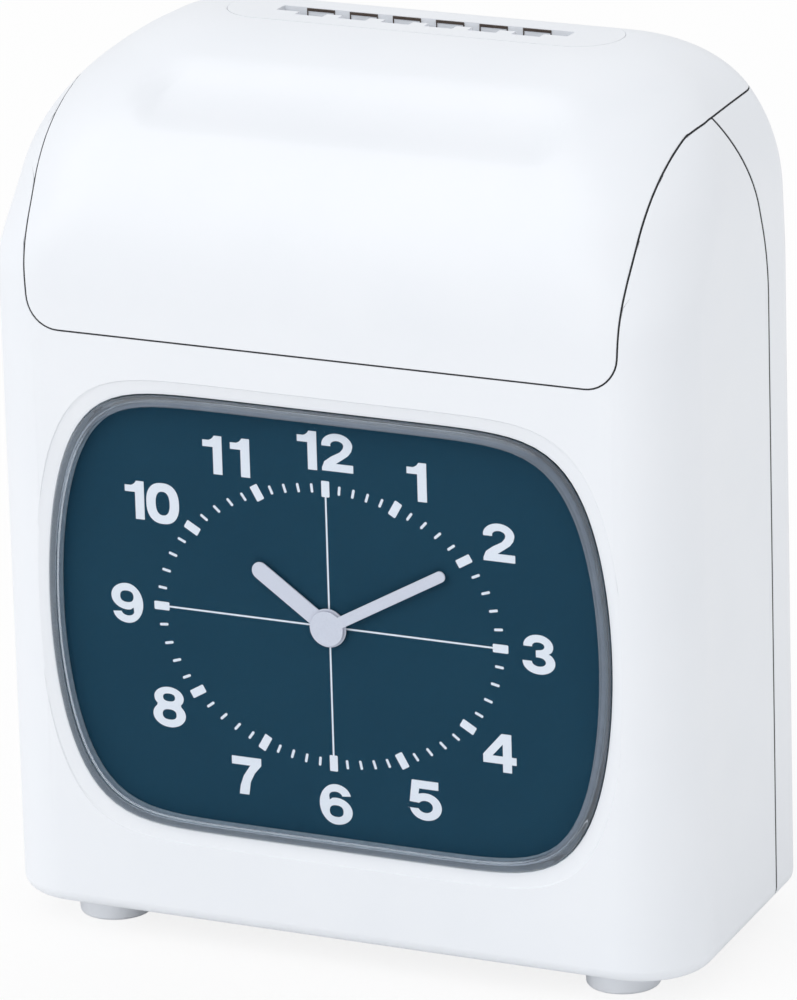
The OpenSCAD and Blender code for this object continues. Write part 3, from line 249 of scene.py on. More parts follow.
def soften(piece, width=edge_round, segments=2, sliver=0.01 * MM):
    """Merges the slivers left by the cuts and rounds the sharp edges; wide faces keep their flat shading."""
    edit_all(piece)
    bpy.ops.mesh.remove_doubles(threshold=sliver)
    bpy.ops.object.mode_set(mode="OBJECT")
    apply_modifier(piece, "BEVEL", width=width, segments=segments, limit_method="ANGLE",
                   angle_limit=sharp_turn, use_clamp_overlap=False)
    smooth(piece)
    apply_modifier(piece, "WEIGHTED_NORMAL", keep_sharp=True)


def drop_slivers(piece, thin=0.3 * MM):
    """Dissolves the smooth edge behind each thin face that a cut leaves beside a sharp edge."""
    mesh = piece.data
    beside = {}
    for face in mesh.polygons:
        for key in face.edge_keys:
            beside.setdefault(key, []).append(face.index)
    turn = {key: mesh.polygons[two[0]].normal.angle(mesh.polygons[two[1]].normal, 0)
            for key, two in beside.items() if len(two) == 2}
    length = {key: (mesh.vertices[key[0]].co - mesh.vertices[key[1]].co).length for key in beside}
    chosen = set()
    for face in mesh.polygons:
        keys = face.edge_keys
        smooth_keys = [key for key in keys if turn.get(key, math.pi) < smooth_turn]
        if smooth_keys and max(turn.get(key, 0) for key in keys) > sharp_turn:
            if face.area < thin * max(length[key] for key in keys):
                chosen.add(max(smooth_keys, key=length.get))
    edit_edges(piece, lambda edge: tuple(sorted(edge.vertices)) in chosen)
    bpy.ops.mesh.dissolve_edges(use_verts=False)
    close_edges()


def add_inside(piece, *parts):
    """Joins bosses and ribs to a moulding, trimmed to the middle of its wall."""
    for part in parts:
        cut(part, loaf("inside", wall / 2), "INTERSECT")
        cut(piece, part, "UNION")


def linear(code):
    """Linear colour of an sRGB hex value."""
    parts = [int(code[i:i + 2], 16) / 255 for i in (1, 3, 5)]
    return [c / 12.92 if c <= 0.04045 else ((c + 0.055) / 1.055) ** 2.4 for c in parts] + [1]


def new_finish(name):
    material = bpy.data.materials.new(name)
    material.use_nodes = True
    material.node_tree.nodes.clear()
    return material


def add_node(material, kind, inputs, **settings):
    """Adds a shader node by its short name, with its settings; a socket given as an input is linked."""
    node = material.node_tree.nodes.new("ShaderNode" + kind)
    for name, value in settings.items():
        setattr(node, name, value)
    for name, value in inputs.items():
        if isinstance(value, bpy.types.NodeSocket):
            material.node_tree.links.new(value, node.inputs[name])
        else:
            node.inputs[name].default_value = value
    return node


def own_space(material):
    return add_node(material, "TexCoord", {}).outputs["Object"]


def noise_of(material, size, detail=2, place=None):
    """Noise in patches of a size, in the piece's own space unless a place is given."""
    where = own_space(material) if place is None else place
    return add_node(material, "TexNoise", {
        "Vector": where, "Scale": 1 / size, "Detail": detail}).outputs["Fac"]


def between(material, share, low, high):
    return add_node(material, "MapRange", {"Value": share, "To Min": low, "To Max": high}).outputs["Result"]


def blend(material, share, first, second):
    """Colour between two, each given as a hex value or a socket."""
    ends = [linear(c) if isinstance(c, str) else c for c in (first, second)]
    return add_node(material, "Mix", {0: share, 6: ends[0], 7: ends[1]}, data_type="RGBA").outputs[2]


def relief(material, height, strength, distance):
    return add_node(material, "Bump", {
        "Height": height, "Strength": strength, "Distance": distance}).outputs["Normal"]


def reckoned(material, operation, first, second):
    return add_node(material, "Math", {0: first, 1: second}, operation=operation).outputs[0]


def coat(material, inputs):
    """Ends a finish with one surface."""
    surface = add_node(material, "BsdfPrincipled", inputs)
    add_node(material, "OutputMaterial", {"Surface": surface.outputs["BSDF"]})


def layered(material, share, first, second):
    """Ends a finish with a mix of two surfaces."""
    both = add_node(material, "MixShader", {0: share, 1: first.outputs[0], 2: second.outputs[0]})
    add_node(material, "OutputMaterial", {"Surface": both.outputs["Shader"]})


# Moulded white ABS: a satin skin with a fine spark-eroded grain and a barely mottled tone.
# The grain of about 0.3 mm is too fine to show, so it is drawn at 0.7 mm.
abs_grain, abs_mottle = 0.7 * MM, 35 * MM
white_abs = new_finish("moulded_white_abs")
grain = noise_of(white_abs, abs_grain)
coat(white_abs, {
    "Base Color": blend(white_abs, noise_of(white_abs, abs_mottle, 3), "#EEF1F6", "#E8ECF2"),
    "Roughness": between(white_abs, grain, 0.34, 0.46), "Normal": relief(white_abs, grain, 0.05, 0.05 * MM),
    "IOR": 1.54})


def dress(piece, material):
    piece.data.materials.clear()
    piece.data.materials.append(material)


screw_spots = [(sx * 91 * MM, z * MM) for sx in (-1, 1) for z in (22, 174.5)]
post_spots = [(sx * 62 * MM, z * MM) for sx in (-1, 1) for z in (30, 212.5)]
screw_bore, bore_sides, head_bore, head_seat_y = 3.5 * MM, 32, 7 * MM, back_y - 9 * MM
rear_boss_d, boss_lap, web_t, web_step, post_d, post_y = 10 * MM, 1 * MM, 2.4 * MM, 0.4 * MM, 9 * MM, 29 * MM
plate_window = ((-53 * MM, 46.3 * MM, 185.5 * MM), (53 * MM, back_y + past, 207.5 * MM))
gland_at, gland_hole = (-70 * MM, 52 * MM), 14.6 * MM
groove = ((-86 * MM, 40.5 * MM, 233 * MM), (86 * MM, back_y + past, 239.4 * MM))


def screw_boss(spot, diameter, y0, y1):
    """Screw boss and the web that ties it to the side wall, a step short of the boss's ends."""
    x, z = spot
    edge = math.copysign(case_w / 2, x)
    boss = rod("boss", (x, y0, z), (x, y1, z), diameter)
    cut(boss, block("web", (min(x, edge), y0 + web_step, z - web_t / 2),
                    (max(x, edge), y1 - web_step, z + web_t / 2)), "UNION")
    return boss


rear_shell = loaf("rear_shell", 0, wall)
add_inside(rear_shell, *[screw_boss(spot, rear_boss_d, split_y - boss_lap, back_y) for spot in screw_spots],
           *[rod("post", (x, post_y, z), (x, back_y, z), post_d) for x, z in post_spots])
cut(rear_shell, split_region(split_seam / 2))
cut(rear_shell, hood_region(seam / 2))
cut(rear_shell, block("hinge_groove", *groove))
cut(rear_shell, block("plate_window", *plate_window))
cut(rear_shell, rod("gland_hole", (gland_at[0], back_y - past, gland_at[1]),
                    (gland_at[0], back_y + past, gland_at[1]), gland_hole))
for x, z in screw_spots:
    cut(rear_shell, rod("bore", (x, 0, z), (x, back_y, z), screw_bore, bore_sides))
    cut(rear_shell, rod("counterbore", (x, head_seat_y, z), (x, back_y + past, z), head_bore))
drop_slivers(rear_shell)
soften(rear_shell)
dress(rear_shell, white_abs)
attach(rear_shell, "casing")
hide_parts("rear_case")

# Feet: four round feet under the casing, each with a thin flange at its root.
# Turned shapes in white ABS, pressed into the base, with a rounded tread.
foot_x, foot_ys = 78 * MM, (-28 * MM, 33.5 * MM)
foot_r, foot_neck, foot_flange_t, foot_tread_r, foot_taper = 11.5 * MM, 10.6 * MM, 1 * MM, 1.1 * MM, 0.3 * MM
weld = 0.002 * MM


def turned(name, profile, centre, axis=(0, 0, 1), steps=64):
    """Spins an open profile of 3-D points round an axis into a closed solid."""
    piece = new_piece(name, profile, [])
    piece.data.edges.add(len(profile) - 1)
    for k, edge in enumerate(piece.data.edges):
        edge.vertices = (k, k + 1)
    edit_all(piece)
    bpy.ops.mesh.spin(steps=steps, angle=2 * math.pi, center=centre, axis=axis)
    bpy.ops.mesh.select_all(action="SELECT")
    bpy.ops.mesh.remove_doubles(threshold=weld)
    close_edit()
    smooth(piece)
    return piece


tread = [(foot_neck - foot_taper - foot_tread_r * (1 - math.sin(math.radians(a))),
          foot_tread_r * (1 - math.cos(math.radians(a)))) for a in range(0, 91, 15)]
flange_low = foot_h - foot_flange_t
# Steps up the neck and round the flange in mm, out from its radius and up from the flange's underside.
neck_steps = ((-0.1, -0.4), (0, -0.12), (0.12, 0))
flange_steps = ((-0.25, 0), (-0.07, 0.07), (0, 0.25), (0, 0.85), (-0.15, 1))
foot_profile = ([(0, 0)] + tread + [(foot_neck + r * MM, flange_low + z * MM) for r, z in neck_steps]
                + [(foot_r + r * MM, flange_low + z * MM) for r, z in flange_steps] + [(0, foot_h)])
for end, y in zip(("front", "rear"), foot_ys):
    for side, x in (("left", -foot_x), ("right", foot_x)):
        foot = turned("foot_%s_%s" % (end, side), [(x + r, y, z) for r, z in foot_profile], (x, y, 0))
        dress(foot, white_abs)
        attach(foot, "casing")
        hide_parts("feet")

# Front case: the moulding that carries the window, from the base up to the shoulders.
# White ABS, open at the back and at the hood, with a shallow dish that slopes down to the window,
# four posts behind for the dial, and a ledge for the setting buttons.
window_w, window_h, window_z = 170 * MM, 126.2 * MM, 97.4 * MM
window_level, window_upright = 8, 1.95
window_points = 160
dish_slope = [(d * MM, e * MM) for d, e in (
    (0, 4), (0.32, 3.7), (0.52, 2.9), (0.7, 1.9), (0.84, 0.8), (0.9, 0))]
dish_past = 0.1 * MM
front_boss_d, front_boss_y, front_boss_floor = 8 * MM, 12.7 * MM, 2 * MM
dial_posts = [(sx * 80 * MM, window_z + sz * 56.1 * MM) for sx in (-1, 1) for sz in (-1, 1)]
dial_post_d, dial_post_end = 6 * MM, front_y + 4.7 * MM
ledge = ((-62 * MM, front_y, 168.2 * MM), (62 * MM, front_y + 8.6 * MM, 170.2 * MM))
lock_y, lock_z, lock_hole = -10 * MM, 202.5 * MM, 16 * MM


def window_outline(extra, y):
    """The window's outline, like a television screen, grown by extra; each reach is found by halving."""
    outline = []
    for k in range(window_points):
        a = 2 * math.pi * k / window_points
        c, s = abs(math.cos(a)), abs(math.sin(a))
        low, high = 0.5, 2
        while high - low > 1e-9:
            r = (low + high) / 2
            low, high = (r, high) if (r * c) ** window_level + (r * s) ** window_upright < 1 else (low, r)
        outline.append((low * math.cos(a) * (window_w / 2 + extra), y,
                        window_z + low * math.sin(a) * (window_h / 2 + extra)))
    return outline


def window_form(name, steps):
    """Solid on the window's outline, extruded and resized from step to step, each (depth, extra)."""
    first = window_outline(steps[0][1], front_y + steps[0][0])
    piece = new_piece(name, first, [list(range(window_points))])
    edit_all(piece)
    for (depth, extra), (next_depth, next_extra) in zip(steps, steps[1:]):
        bpy.ops.mesh.extrude_region_move(TRANSFORM_OT_translate={"value": (0, next_depth - depth, 0)})
        bpy.ops.transform.resize(value=((window_w / 2 + next_extra) / (window_w / 2 + extra), 1,
                                        (window_h / 2 + next_extra) / (window_h / 2 + extra)),
                                 center_override=(0, 0, window_z))
    close_edit()
    return piece


front_shell = loaf("front_shell", 0, wall)
add_inside(front_shell,
           *[screw_boss(spot, front_boss_d, front_boss_y, split_y + boss_lap) for spot in screw_spots],
           *[rod("post", (x, front_y, z), (x, dial_post_end, z), dial_post_d) for x, z in dial_posts],
           block("ledge", *ledge))
cut(front_shell, split_region(-split_seam / 2), "INTERSECT")
cut(front_shell, hood_region(seam / 2))
cut(front_shell, window_form("dish", [(-past, dish_slope[0][1])] + dish_slope + [(wall + dish_past, 0)]))
for x, z in screw_spots:
    cut(front_shell, rod("bore", (x, front_boss_y + front_boss_floor, z), (x, back_y, z),
                         screw_bore, bore_sides))
cut(front_shell, rod("lock_hole", (-case_w, lock_y, lock_z), (past - case_w / 2, lock_y, lock_z), lock_hole))
drop_slivers(front_shell)
soften(front_shell)
dress(front_shell, white_abs)
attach(front_shell, "casing")
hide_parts("front_case")

# Lens: the clear window, a shallow bowl that stands 1 mm proud with a rounded bevel round its face.
# Moulded in clear acrylic, with a skirt and a flange that sits behind the front case.
lens_gap = 0.3 * MM
lens_proud, bevel_w, bevel_drop = 1 * MM, 2.7 * MM, 1.8 * MM
bevel_steps = 8
bevel_angles = [math.radians(90 * k / bevel_steps) for k in range(bevel_steps + 1)]
bevel = [(-lens_proud + bevel_drop * (1 - math.cos(a)), -lens_gap - bevel_w * (1 - math.sin(a)))
         for a in bevel_angles]
# Steps behind the bevel in mm, each (depth, extra): the skirt, the flange and the hollow of the bowl.
lens_back = [(d * MM, e * MM) for d, e in (
    (2.9, -0.3), (2.9, 1.4), (4.4, 1.4), (4.4, -1.9), (1.6, -1.9), (0.9, -2.2), (0.5, -2.8), (0.4, -3.4))]
lens_smooth, face_flat = 40, 0.999
lens = window_form("lens", bevel + lens_back)
smooth(lens, lens_smooth)

# Clear acrylic: polished and colourless with a faint cool edge, and almost no haze.
haze_size = 20 * MM
clear_acrylic = new_finish("clear_acrylic")
polish = between(clear_acrylic, noise_of(clear_acrylic, haze_size, 3), 0.0, 0.04)
surface = add_node(clear_acrylic, "BsdfPrincipled", {
    "Base Color": linear("#F2F8FA"), "Roughness": polish, "IOR": 1.49, "Transmission Weight": 1})
open_way = add_node(clear_acrylic, "BsdfTransparent", {"Color": linear("#F2F8FA")})
path = add_node(clear_acrylic, "LightPath", {})
lit = reckoned(clear_acrylic, "MAXIMUM", path.outputs["Is Shadow Ray"], path.outputs["Is Diffuse Ray"])
layered(clear_acrylic, lit, surface, open_way)
dress(lens, clear_acrylic)

# Coated acrylic: the flat face has an anti-glare coat, so it shows the dial with hardly any reflection.
coated_acrylic = new_finish("coated_acrylic")
film = between(coated_acrylic, noise_of(coated_acrylic, haze_size, 3), 0.005, 0.015)
surface = add_node(coated_acrylic, "BsdfPrincipled", {
    "Base Color": linear("#26343E"), "Roughness": 0.08, "IOR": 1.49})
open_way = add_node(coated_acrylic, "BsdfTransparent", {"Color": linear("#FAFDFE")})
layered(coated_acrylic, film, open_way, surface)


def mottled(name, first, second, size, inputs, detail=2, cells=False):
    """Finish that drifts between two tones, in patches or cells of a size; inputs are its shader's own."""
    material = new_finish(name)
    if cells:
        pattern = add_node(material, "TexVoronoi", {
            "Vector": own_space(material), "Scale": 1 / size}).outputs["Distance"]
    else:
        pattern = noise_of(material, size, detail)
    coat(material, {"Base Color": blend(material, pattern, first, second), **inputs})
    return material


# Border ink: a thin steel-grey print on the bevel, mostly clear, so the edge's bent light shows through it.
border_ink = mottled("steel_grey_border_ink", "#9AA6B6", "#B0BCCA", 6 * MM, {
    "Roughness": 0.05, "IOR": 1.49, "Transmission Weight": 0.8})
lens.data.materials.append(coated_acrylic)
lens.data.materials.append(border_ink)
for face in lens.data.polygons:
    if abs(face.normal.y) > face_flat and len(face.vertices) == window_points:
        face.material_index = 1
    elif max(lens.data.vertices[i].co.y for i in face.vertices) < front_y + bevel_drop:
        face.material_index = 2
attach(lens, "casing")
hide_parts("window_lens")

# Dial: a thin plate behind the lens, on the posts of the front case.
# Aluminium sheet with a matt teal coat, screen-printed in white with the numbers, marks and a fine cross.
dial_z, dial_y = 98.5 * MM, -45 * MM
print_t = 0.06 * MM
mark_a, mark_b = 51.2 * MM, 39.4 * MM
hour_mark, minute_mark = (2.4 * MM, 4.6 * MM, 0.3 * MM), (0.75 * MM, 2.6 * MM, 0.29 * MM)
cross_w, cross_x, cross_z = 0.5 * MM, 49 * MM, 37.2 * MM

# Matt screen paint: an even tone with a slight orange-peel, drawn at 1.5 mm.
peel_size, drift_size = 1.5 * MM, 40 * MM
teal_paint = new_finish("matt_teal_paint")
coat(teal_paint, {
    "Base Color": blend(teal_paint, noise_of(teal_paint, drift_size), "#193C50", "#1D4256"),
    "Roughness": 0.75, "Normal": relief(teal_paint, noise_of(teal_paint, peel_size), 0.04, 0.02 * MM),
    "Specular IOR Level": 0.1})
dress(frame["nodes"]["dial_plate"], teal_paint)

# White screen ink: flat and opaque, a little uneven at the scale of the screen's mesh, drawn at 1 mm.
white_ink = mottled("white_screen_ink", "#F4F1F8", "#ECEAF4", 1 * MM, {"Roughness": 0.5})


def on_dial(piece):
    dress(piece, white_ink)
    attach(piece, "casing")


def mark(name, minute, width, length, corner):
    """One printed bar with round corners, laid along its radius on the ring of marks."""
    a = math.radians(6 * minute)
    reach = 1 / math.hypot(math.sin(a) / mark_a, math.cos(a) / mark_b)
    bar = block(name, (-width / 2, -print_t / 2, -length / 2), (width / 2, print_t / 2, length / 2))

    def upright(edge):
        first, second = (bar.data.vertices[i].co.y for i in edge.vertices)
        return abs(first - second) > print_t / 2

    edit_edges(bar, upright)
    bpy.ops.mesh.bevel(offset=corner, segments=5)
    close_edges()
    bar.rotation_euler = (0, a, 0)
    bar.location = (reach * math.sin(a), dial_y - print_t / 2, dial_z + reach * math.cos(a))
    bpy.ops.object.transform_apply()
    return bar


def join(name, pieces):
    select_only(*pieces)
    bpy.ops.object.join()
    pieces[0].name = name
    return pieces[0]


on_dial(join("dial_hour_marks", [mark("hour", m, *hour_mark) for m in range(0, 60, 5)]))
on_dial(join("dial_minute_marks", [mark("minute", m, *minute_mark) for m in range(60) if m % 5]))
on_dial(join("dial_cross", [
    block("upright_line", (-cross_w / 2, dial_y - print_t / 2, dial_z - cross_z),
          (cross_w / 2, dial_y, dial_z + cross_z)),
    block("level_line", (-cross_x, dial_y - print_t / 2, dial_z - cross_w / 2),
          (cross_x, dial_y, dial_z + cross_w / 2))]))


def arc(cx, cy, rx, ry, start, end, steps=14):
    return [(cx + rx * math.cos(math.radians(start + (end - start) * k / steps)),
             cy + ry * math.sin(math.radians(start + (end - start) * k / steps))) for k in range(steps + 1)]


def oval(cx, cy, rx, ry, power=2.4, steps=40):
    points = []
    for k in range(steps):
        c, s = math.cos(2 * math.pi * k / steps), math.sin(2 * math.pi * k / steps)
        points.append((cx + rx * math.copysign(abs(c) ** (2 / power), c),
                       cy + ry * math.copysign(abs(s) ** (2 / power), s)))
    return points


# Broad figures, in mm from the lower left corner: the outlines first, then their holes.
six = [arc(5.2, 8, 4.6, 3.55, 8, 90) + arc(5.2, 5.7, 5.1, 5.85, 90, 270, 24)
       + arc(5.2, 3.75, 5, 3.9, 270, 450, 24) + [(4.1, 7.5), (3.2, 6.85)]
       + arc(5.1, 8.05, 2.05, 1.35, 190, 8),
       oval(5.25, 3.75, 2.15, 1.7)]
figures = {
    "0": [oval(5.1, 5.7, 5.1, 5.85), oval(5.1, 5.7, 2.2, 3.4)],
    "1": [[(3.3, 0), (6.2, 0), (6.2, 11.4), (3.75, 11.4), (3.3, 10.75), (2.75, 10.3), (2, 9.95),
           (0, 9.95), (0, 8), (3.3, 8)]],
    "2": [[(0, 0), (10.2, 0), (10.2, 2.35), (4.6, 2.35), (6.6, 3.7), (8.6, 5.1), (9.7, 6.5)]
          + arc(5.05, 7.95, 5.05, 3.55, 0, 180, 24) + [(0.05, 7.55), (2.95, 7.55)]
          + arc(5.05, 7.95, 2.15, 1.35, 180, 0) + [(7, 7.2), (6, 6), (3, 4.4), (0.8, 2.8), (0, 0.9)]],
    "3": [arc(5, 8.2, 4.65, 3.3, 180, -30, 24) + [(8.2, 6.05)] + arc(5.1, 3.4, 5.1, 3.55, 40, -180, 28)
          + [(0, 3.6), (2.9, 3.6)] + arc(5.1, 3.5, 2.2, 1.35, 180, 450) + [(4.2, 4.85), (4.2, 6.85)]
          + arc(5, 8.15, 1.95, 1.15, -90, 180) + [(3.05, 7.9), (0.35, 7.9)]],
    "4": [[(6.2, 0), (9, 0), (9, 2.45), (10.5, 2.45), (10.5, 4.7), (9, 4.7), (9, 11.4), (5.9, 11.4), (0, 4.9),
           (0, 2.45), (6.2, 2.45)], [(6.25, 4.7), (6.25, 8.3), (2.95, 4.7)]],
    "5": [[(1.5, 11.25), (9.6, 11.25), (9.6, 8.9), (3.7, 8.9), (3.45, 7.35)]
          + arc(5.6, 3.75, 4.9, 3.95, 110, -170, 28) + [(0, 3.1), (2.9, 3.1)]
          + arc(5.5, 3.75, 2.3, 1.75, 200, 510, 24) + [(3.4, 4.75), (0.7, 4.9)]],
    "6": six,
    "7": [[(0.3, 11.3), (9.8, 11.3), (9.8, 9.1), (7.6, 6.6), (6.2, 3.9), (5.6, 0), (2.5, 0), (2.9, 2.6),
           (4, 5.6), (6.2, 8.85), (0.3, 8.85)]],
    "8": [arc(5.1, 8.45, 4.6, 3.1, -38, 218, 28) + arc(5.1, 3.5, 5.1, 3.65, 138, 402, 30),
          oval(5.1, 8.5, 1.9, 1.15), oval(5.1, 3.55, 2.2, 1.5)],
    "9": [[(10.4 - x, 11.4 - y) for x, y in loop] for loop in six],
}
figure_scale = (0.945 * MM, 0.965 * MM)
figure_grow = {"0": 1.04, "2": 0.97, "5": 1.04, "6": 1.04, "8": 1.04, "9": 1.02}
numerals = [("1", -5.2, 50), ("2", 3.9, 50.1), ("1", 27.5, 44.5), ("2", 51.5, 30.1), ("3", 62.5, -0.3),
            ("4", 50.2, -29.9), ("5", 27.2, -46.7), ("6", 0.3, -51.3), ("7", -26.8, -46.5),
            ("8", -50.1, -29.4), ("9", -61.9, -0.5), ("1", -58.4, 29.8), ("0", -49.8, 29.6),
            ("1", -34, 45.4), ("1", -25.6, 45.5)]
printed = []
for figure, x, z in numerals:
    bpy.ops.object.select_all(action="DESELECT")
    curve = bpy.data.curves.new("figure_" + figure, "CURVE")
    curve.dimensions, curve.fill_mode, curve.extrude = "2D", "BOTH", print_t / 2
    grow = figure_grow.get(figure, 1)
    outer = figures[figure][0]
    middle = [(min(p[i] for p in outer) + max(p[i] for p in outer)) / 2 for i in (0, 1)]
    for loop in figures[figure]:
        spline = curve.splines.new("POLY")
        spline.points.add(len(loop) - 1)
        spline.use_cyclic_u = True
        for point, (px, pz) in zip(spline.points, loop):
            point.co = ((px - middle[0]) * figure_scale[0] * grow,
                        (pz - middle[1]) * figure_scale[1] * grow, 0, 1)
    numeral = bpy.data.objects.new("numeral", curve)
    bpy.context.scene.collection.objects.link(numeral)
    select_only(numeral)
    bpy.ops.object.convert(target="MESH")
    numeral.rotation_euler = (math.pi / 2, 0, 0)
    numeral.location = (x * MM, dial_y - print_t / 2, dial_z + z * MM)
    bpy.ops.object.transform_apply()
    printed.append(numeral)
on_dial(join("dial_numerals", printed))

# Dial ring: the flat ring that frames the dial under the bevel of the lens.
# Stamped from 0.6 mm aluminium sheet, lacquered grey, and held against the dial by the skirt of the lens.
ring_depth, ring_t, ring_out, ring_in, ring_edge = 2.35 * MM, 0.6 * MM, -2.1 * MM, -3.4 * MM, 0.15 * MM
ring_through = 1 * MM


def window_ring(name, depth, thickness, outer, inner, edge):
    """Flat ring on the window's outline, at a depth behind the front."""
    ring = window_form(name, [(depth, outer), (depth + thickness, outer)])
    cut(ring, window_form("opening", [(depth - ring_through, inner), (depth + 2 * ring_through, inner)]))
    soften(ring, edge)
    return ring


dial_ring = window_ring("dial_ring", ring_depth, ring_t, ring_out, ring_in, ring_edge)

# Grey lacquer on sheet: a steel tone with a soft sheen and faint rolling marks, drawn at 2 mm.
grey_lacquer = mottled("grey_lacquer", "#7C8793", "#939EAB", 2 * MM, {"Roughness": 0.4})
dress(dial_ring, grey_lacquer)
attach(dial_ring, "casing")

# Lens gasket: a flat strip behind the flange of the lens, which keeps dust off the dial.
# Cut from grey foam sheet, 0.5 mm thick, and glued to the flange; it shows pale in the bevel.
gasket_depth, gasket_t, gasket_edge = 4.45 * MM, 0.5 * MM, 0.1 * MM
gasket_out, gasket_in = 1.2 * MM, -1.8 * MM
gasket = window_ring("lens_gasket", gasket_depth, gasket_t, gasket_out, gasket_in, gasket_edge)

# Grey foam sheet: pale and dull, with closed cells of 0.3 mm drawn at 0.8 mm.
grey_foam = mottled("grey_foam_sheet", "#B9C3CE", "#A6B0BB", 0.8 * MM, {"Roughness": 0.9}, cells=True)
dress(gasket, grey_foam)
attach(gasket, "casing")

# Hands: the hour and minute hands, each with a round boss pressed on its pipe or arbor.
# Stamped aluminium, 0.5 mm thick, with a pale lilac coat and rounded edges.
hand_t, hand_edge = 0.5 * MM, 0.16 * MM
hour_depth, minute_depth = 1.7 * MM, 0.8 * MM

# Lilac lacquer on stamped metal: a soft sheen, with faint rolling marks of 0.6 mm.
lilac_lacquer = mottled("lilac_lacquer", "#DEDAE6", "#D6D2DF", 0.6 * MM, {
    "Roughness": 0.35, "Coat Weight": 0.3, "Coat Roughness": 0.15}, detail=1)


def hand(name, length, width, boss, turn, depth, bore, body, node):
    """A straight hand with a round boss and a round tip, turned clockwise from upright."""
    half, r = width / 2, boss / 2
    start = math.degrees(math.asin(half / r))
    outline = arc(0, 0, r, r, 90 + start, 450 - start, 40) + arc(0, length - half, half, half, 0, 180, 16)
    a = math.radians(turn)
    y = front_y + depth
    points = [(x * math.cos(a) + z * math.sin(a), y, dial_z + z * math.cos(a) - x * math.sin(a))
              for x, z in outline]
    piece = prism(name, points, (0, hand_t, 0))
    if bore:
        cut(piece, rod("bore", (0, front_y, dial_z), (0, 0, dial_z), bore))
    soften(piece, hand_edge, segments=3)
    dress(piece, lilac_lacquer)
    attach(piece, body)
    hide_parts(node)
    return piece


hand("hour_pointer", length=27 * MM, width=5 * MM, boss=11 * MM, turn=305.1, depth=hour_depth, bore=5.44 * MM,
     body="hour", node="hour_hand")
hand("minute_pointer", length=41 * MM, width=3.2 * MM, boss=10 * MM, turn=61.2, depth=minute_depth, bore=0,
     body="minute", node="minute_hand")

# Movement: two brass plates with the clock's wheels between them, behind the dial.
# Plates are stamped and drilled, wheels are hobbed and polished; the edges carry a light chamfer.
body_of = {node: body for body, nodes in frame["record"]["behaviour"]["bodies"].items() for node in nodes}
flat_turn, chamfer_turn = math.radians(1), math.radians(40)


def finished(node, material, width, merge_flats=True):
    """A part whose plain form is kept: its mesh is copied and cleaned, and its edges are rounded."""
    piece = bpy.data.objects.new(node + "_finished", frame["nodes"][node].data.copy())
    bpy.context.scene.collection.objects.link(piece)
    edit_all(piece)
    bpy.ops.mesh.remove_doubles(threshold=weld)
    if merge_flats:
        bpy.ops.mesh.dissolve_limited(angle_limit=flat_turn)
    close_edit()
    apply_modifier(piece, "BEVEL", width=width, segments=2, limit_method="ANGLE", angle_limit=chamfer_turn)
    smooth(piece)
    dress(piece, material)
    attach(piece, body_of[node])
    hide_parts(node)
    return piece


def two_tone(name, first, second, grain, roughness, stretch=(1, 1, 1), metallic=0):
    """Finish that drifts between two tones and two roughnesses, at a grain stretched along the axes."""
    material = new_finish(name)
    laid = add_node(material, "Mapping", {"Vector": own_space(material), "Scale": stretch}).outputs["Vector"]
    noise = noise_of(material, grain, 3, laid)
    coat(material, {
        "Base Color": blend(material, noise, first, second), "Metallic": metallic,
        "Roughness": between(material, noise, *roughness),
        "Normal": relief(material, noise, 0.06, 0.05 * MM)})
    return material


# Polished brass: warm and bright, with fine lines along X from the rolling.
brass = two_tone("polished_brass", "#CDAA62", "#B48E48", 1.5 * MM, (0.2, 0.34), (0.1, 1, 1), 1)
for node, width in (("movement_front_plate", 0.2), ("movement_back_plate", 0.2), ("minute_arbor", 0.05),
                    ("hour_wheel", 0.05), ("minute_wheel", 0.05), ("motor_pinion", 0.04)):
    finished(node, brass, width * MM)

# Chassis and card path: the sheet that carries the works, the chute's front and the printer's frame.
# Steel sheet, laser-cut, bent and zinc-plated, with broken edges.
# Zinc plate: a cool grey with a soft grain of crystals and a satin sheen.
zinc_steel = two_tone("zinc_plated_steel", "#B4B8BE", "#979CA4", 3 * MM, (0.28, 0.42), (1, 1, 1), 1)
for node in ("chassis", "chute_front", "printer_frame"):
    finished(node, zinc_steel, 0.2 * MM)

# Motors: the clock's motor and the two that drive the printer and the card stop.
# Drawn steel cans, zinc-plated, pressed on their mounts.
for node in ("clock_motor", "carriage_motor", "stop_motor"):
    finished(node, zinc_steel, 0.6 * MM)

# Printer: a carriage with a finned print head on a rod and a spiral shaft, a platen and a ribbon cassette.
# Shafts are ground steel; carriage, head and cassette are black moulded plastic; the platen is hard rubber.
# Ground steel: brighter than the plate, with fine lines round the shaft.
ground_steel = two_tone("ground_steel", "#C6C9CE", "#AEB2B8", 0.8 * MM, (0.14, 0.26), (1, 0.3, 0.3), 1)
for node in ("carriage_rod", "spiral_shaft"):
    finished(node, ground_steel, 0.15 * MM)
# Black moulded plastic: nearly black with a fine etched grain, drawn at 0.8 mm.
black_plastic = two_tone("black_moulded_plastic", "#2A2C30", "#212327", 0.8 * MM, (0.42, 0.58))
for node, width in (("print_carriage", 0.5), ("print_head", 0.2), ("ribbon_cassette", 0.15)):
    finished(node, black_plastic, width * MM)
# Hard rubber: a dull, ground surface with a faint bloom.
hard_rubber = two_tone("ground_hard_rubber", "#1B1C1E", "#27282B", 1.2 * MM, (0.7, 0.9))
finished("platen", hard_rubber, 0.3 * MM)

# Ribbon knob: the white knob on the cassette that takes up slack in the ribbon.
# Turned with a finger bar across its top, moulded in white ABS and pushed on its spindle.
# Its top is a ring round the bar, which can't be one face, so its flats aren't merged.
finished("ribbon_knob", white_abs, 0.35 * MM, merge_flats=False)

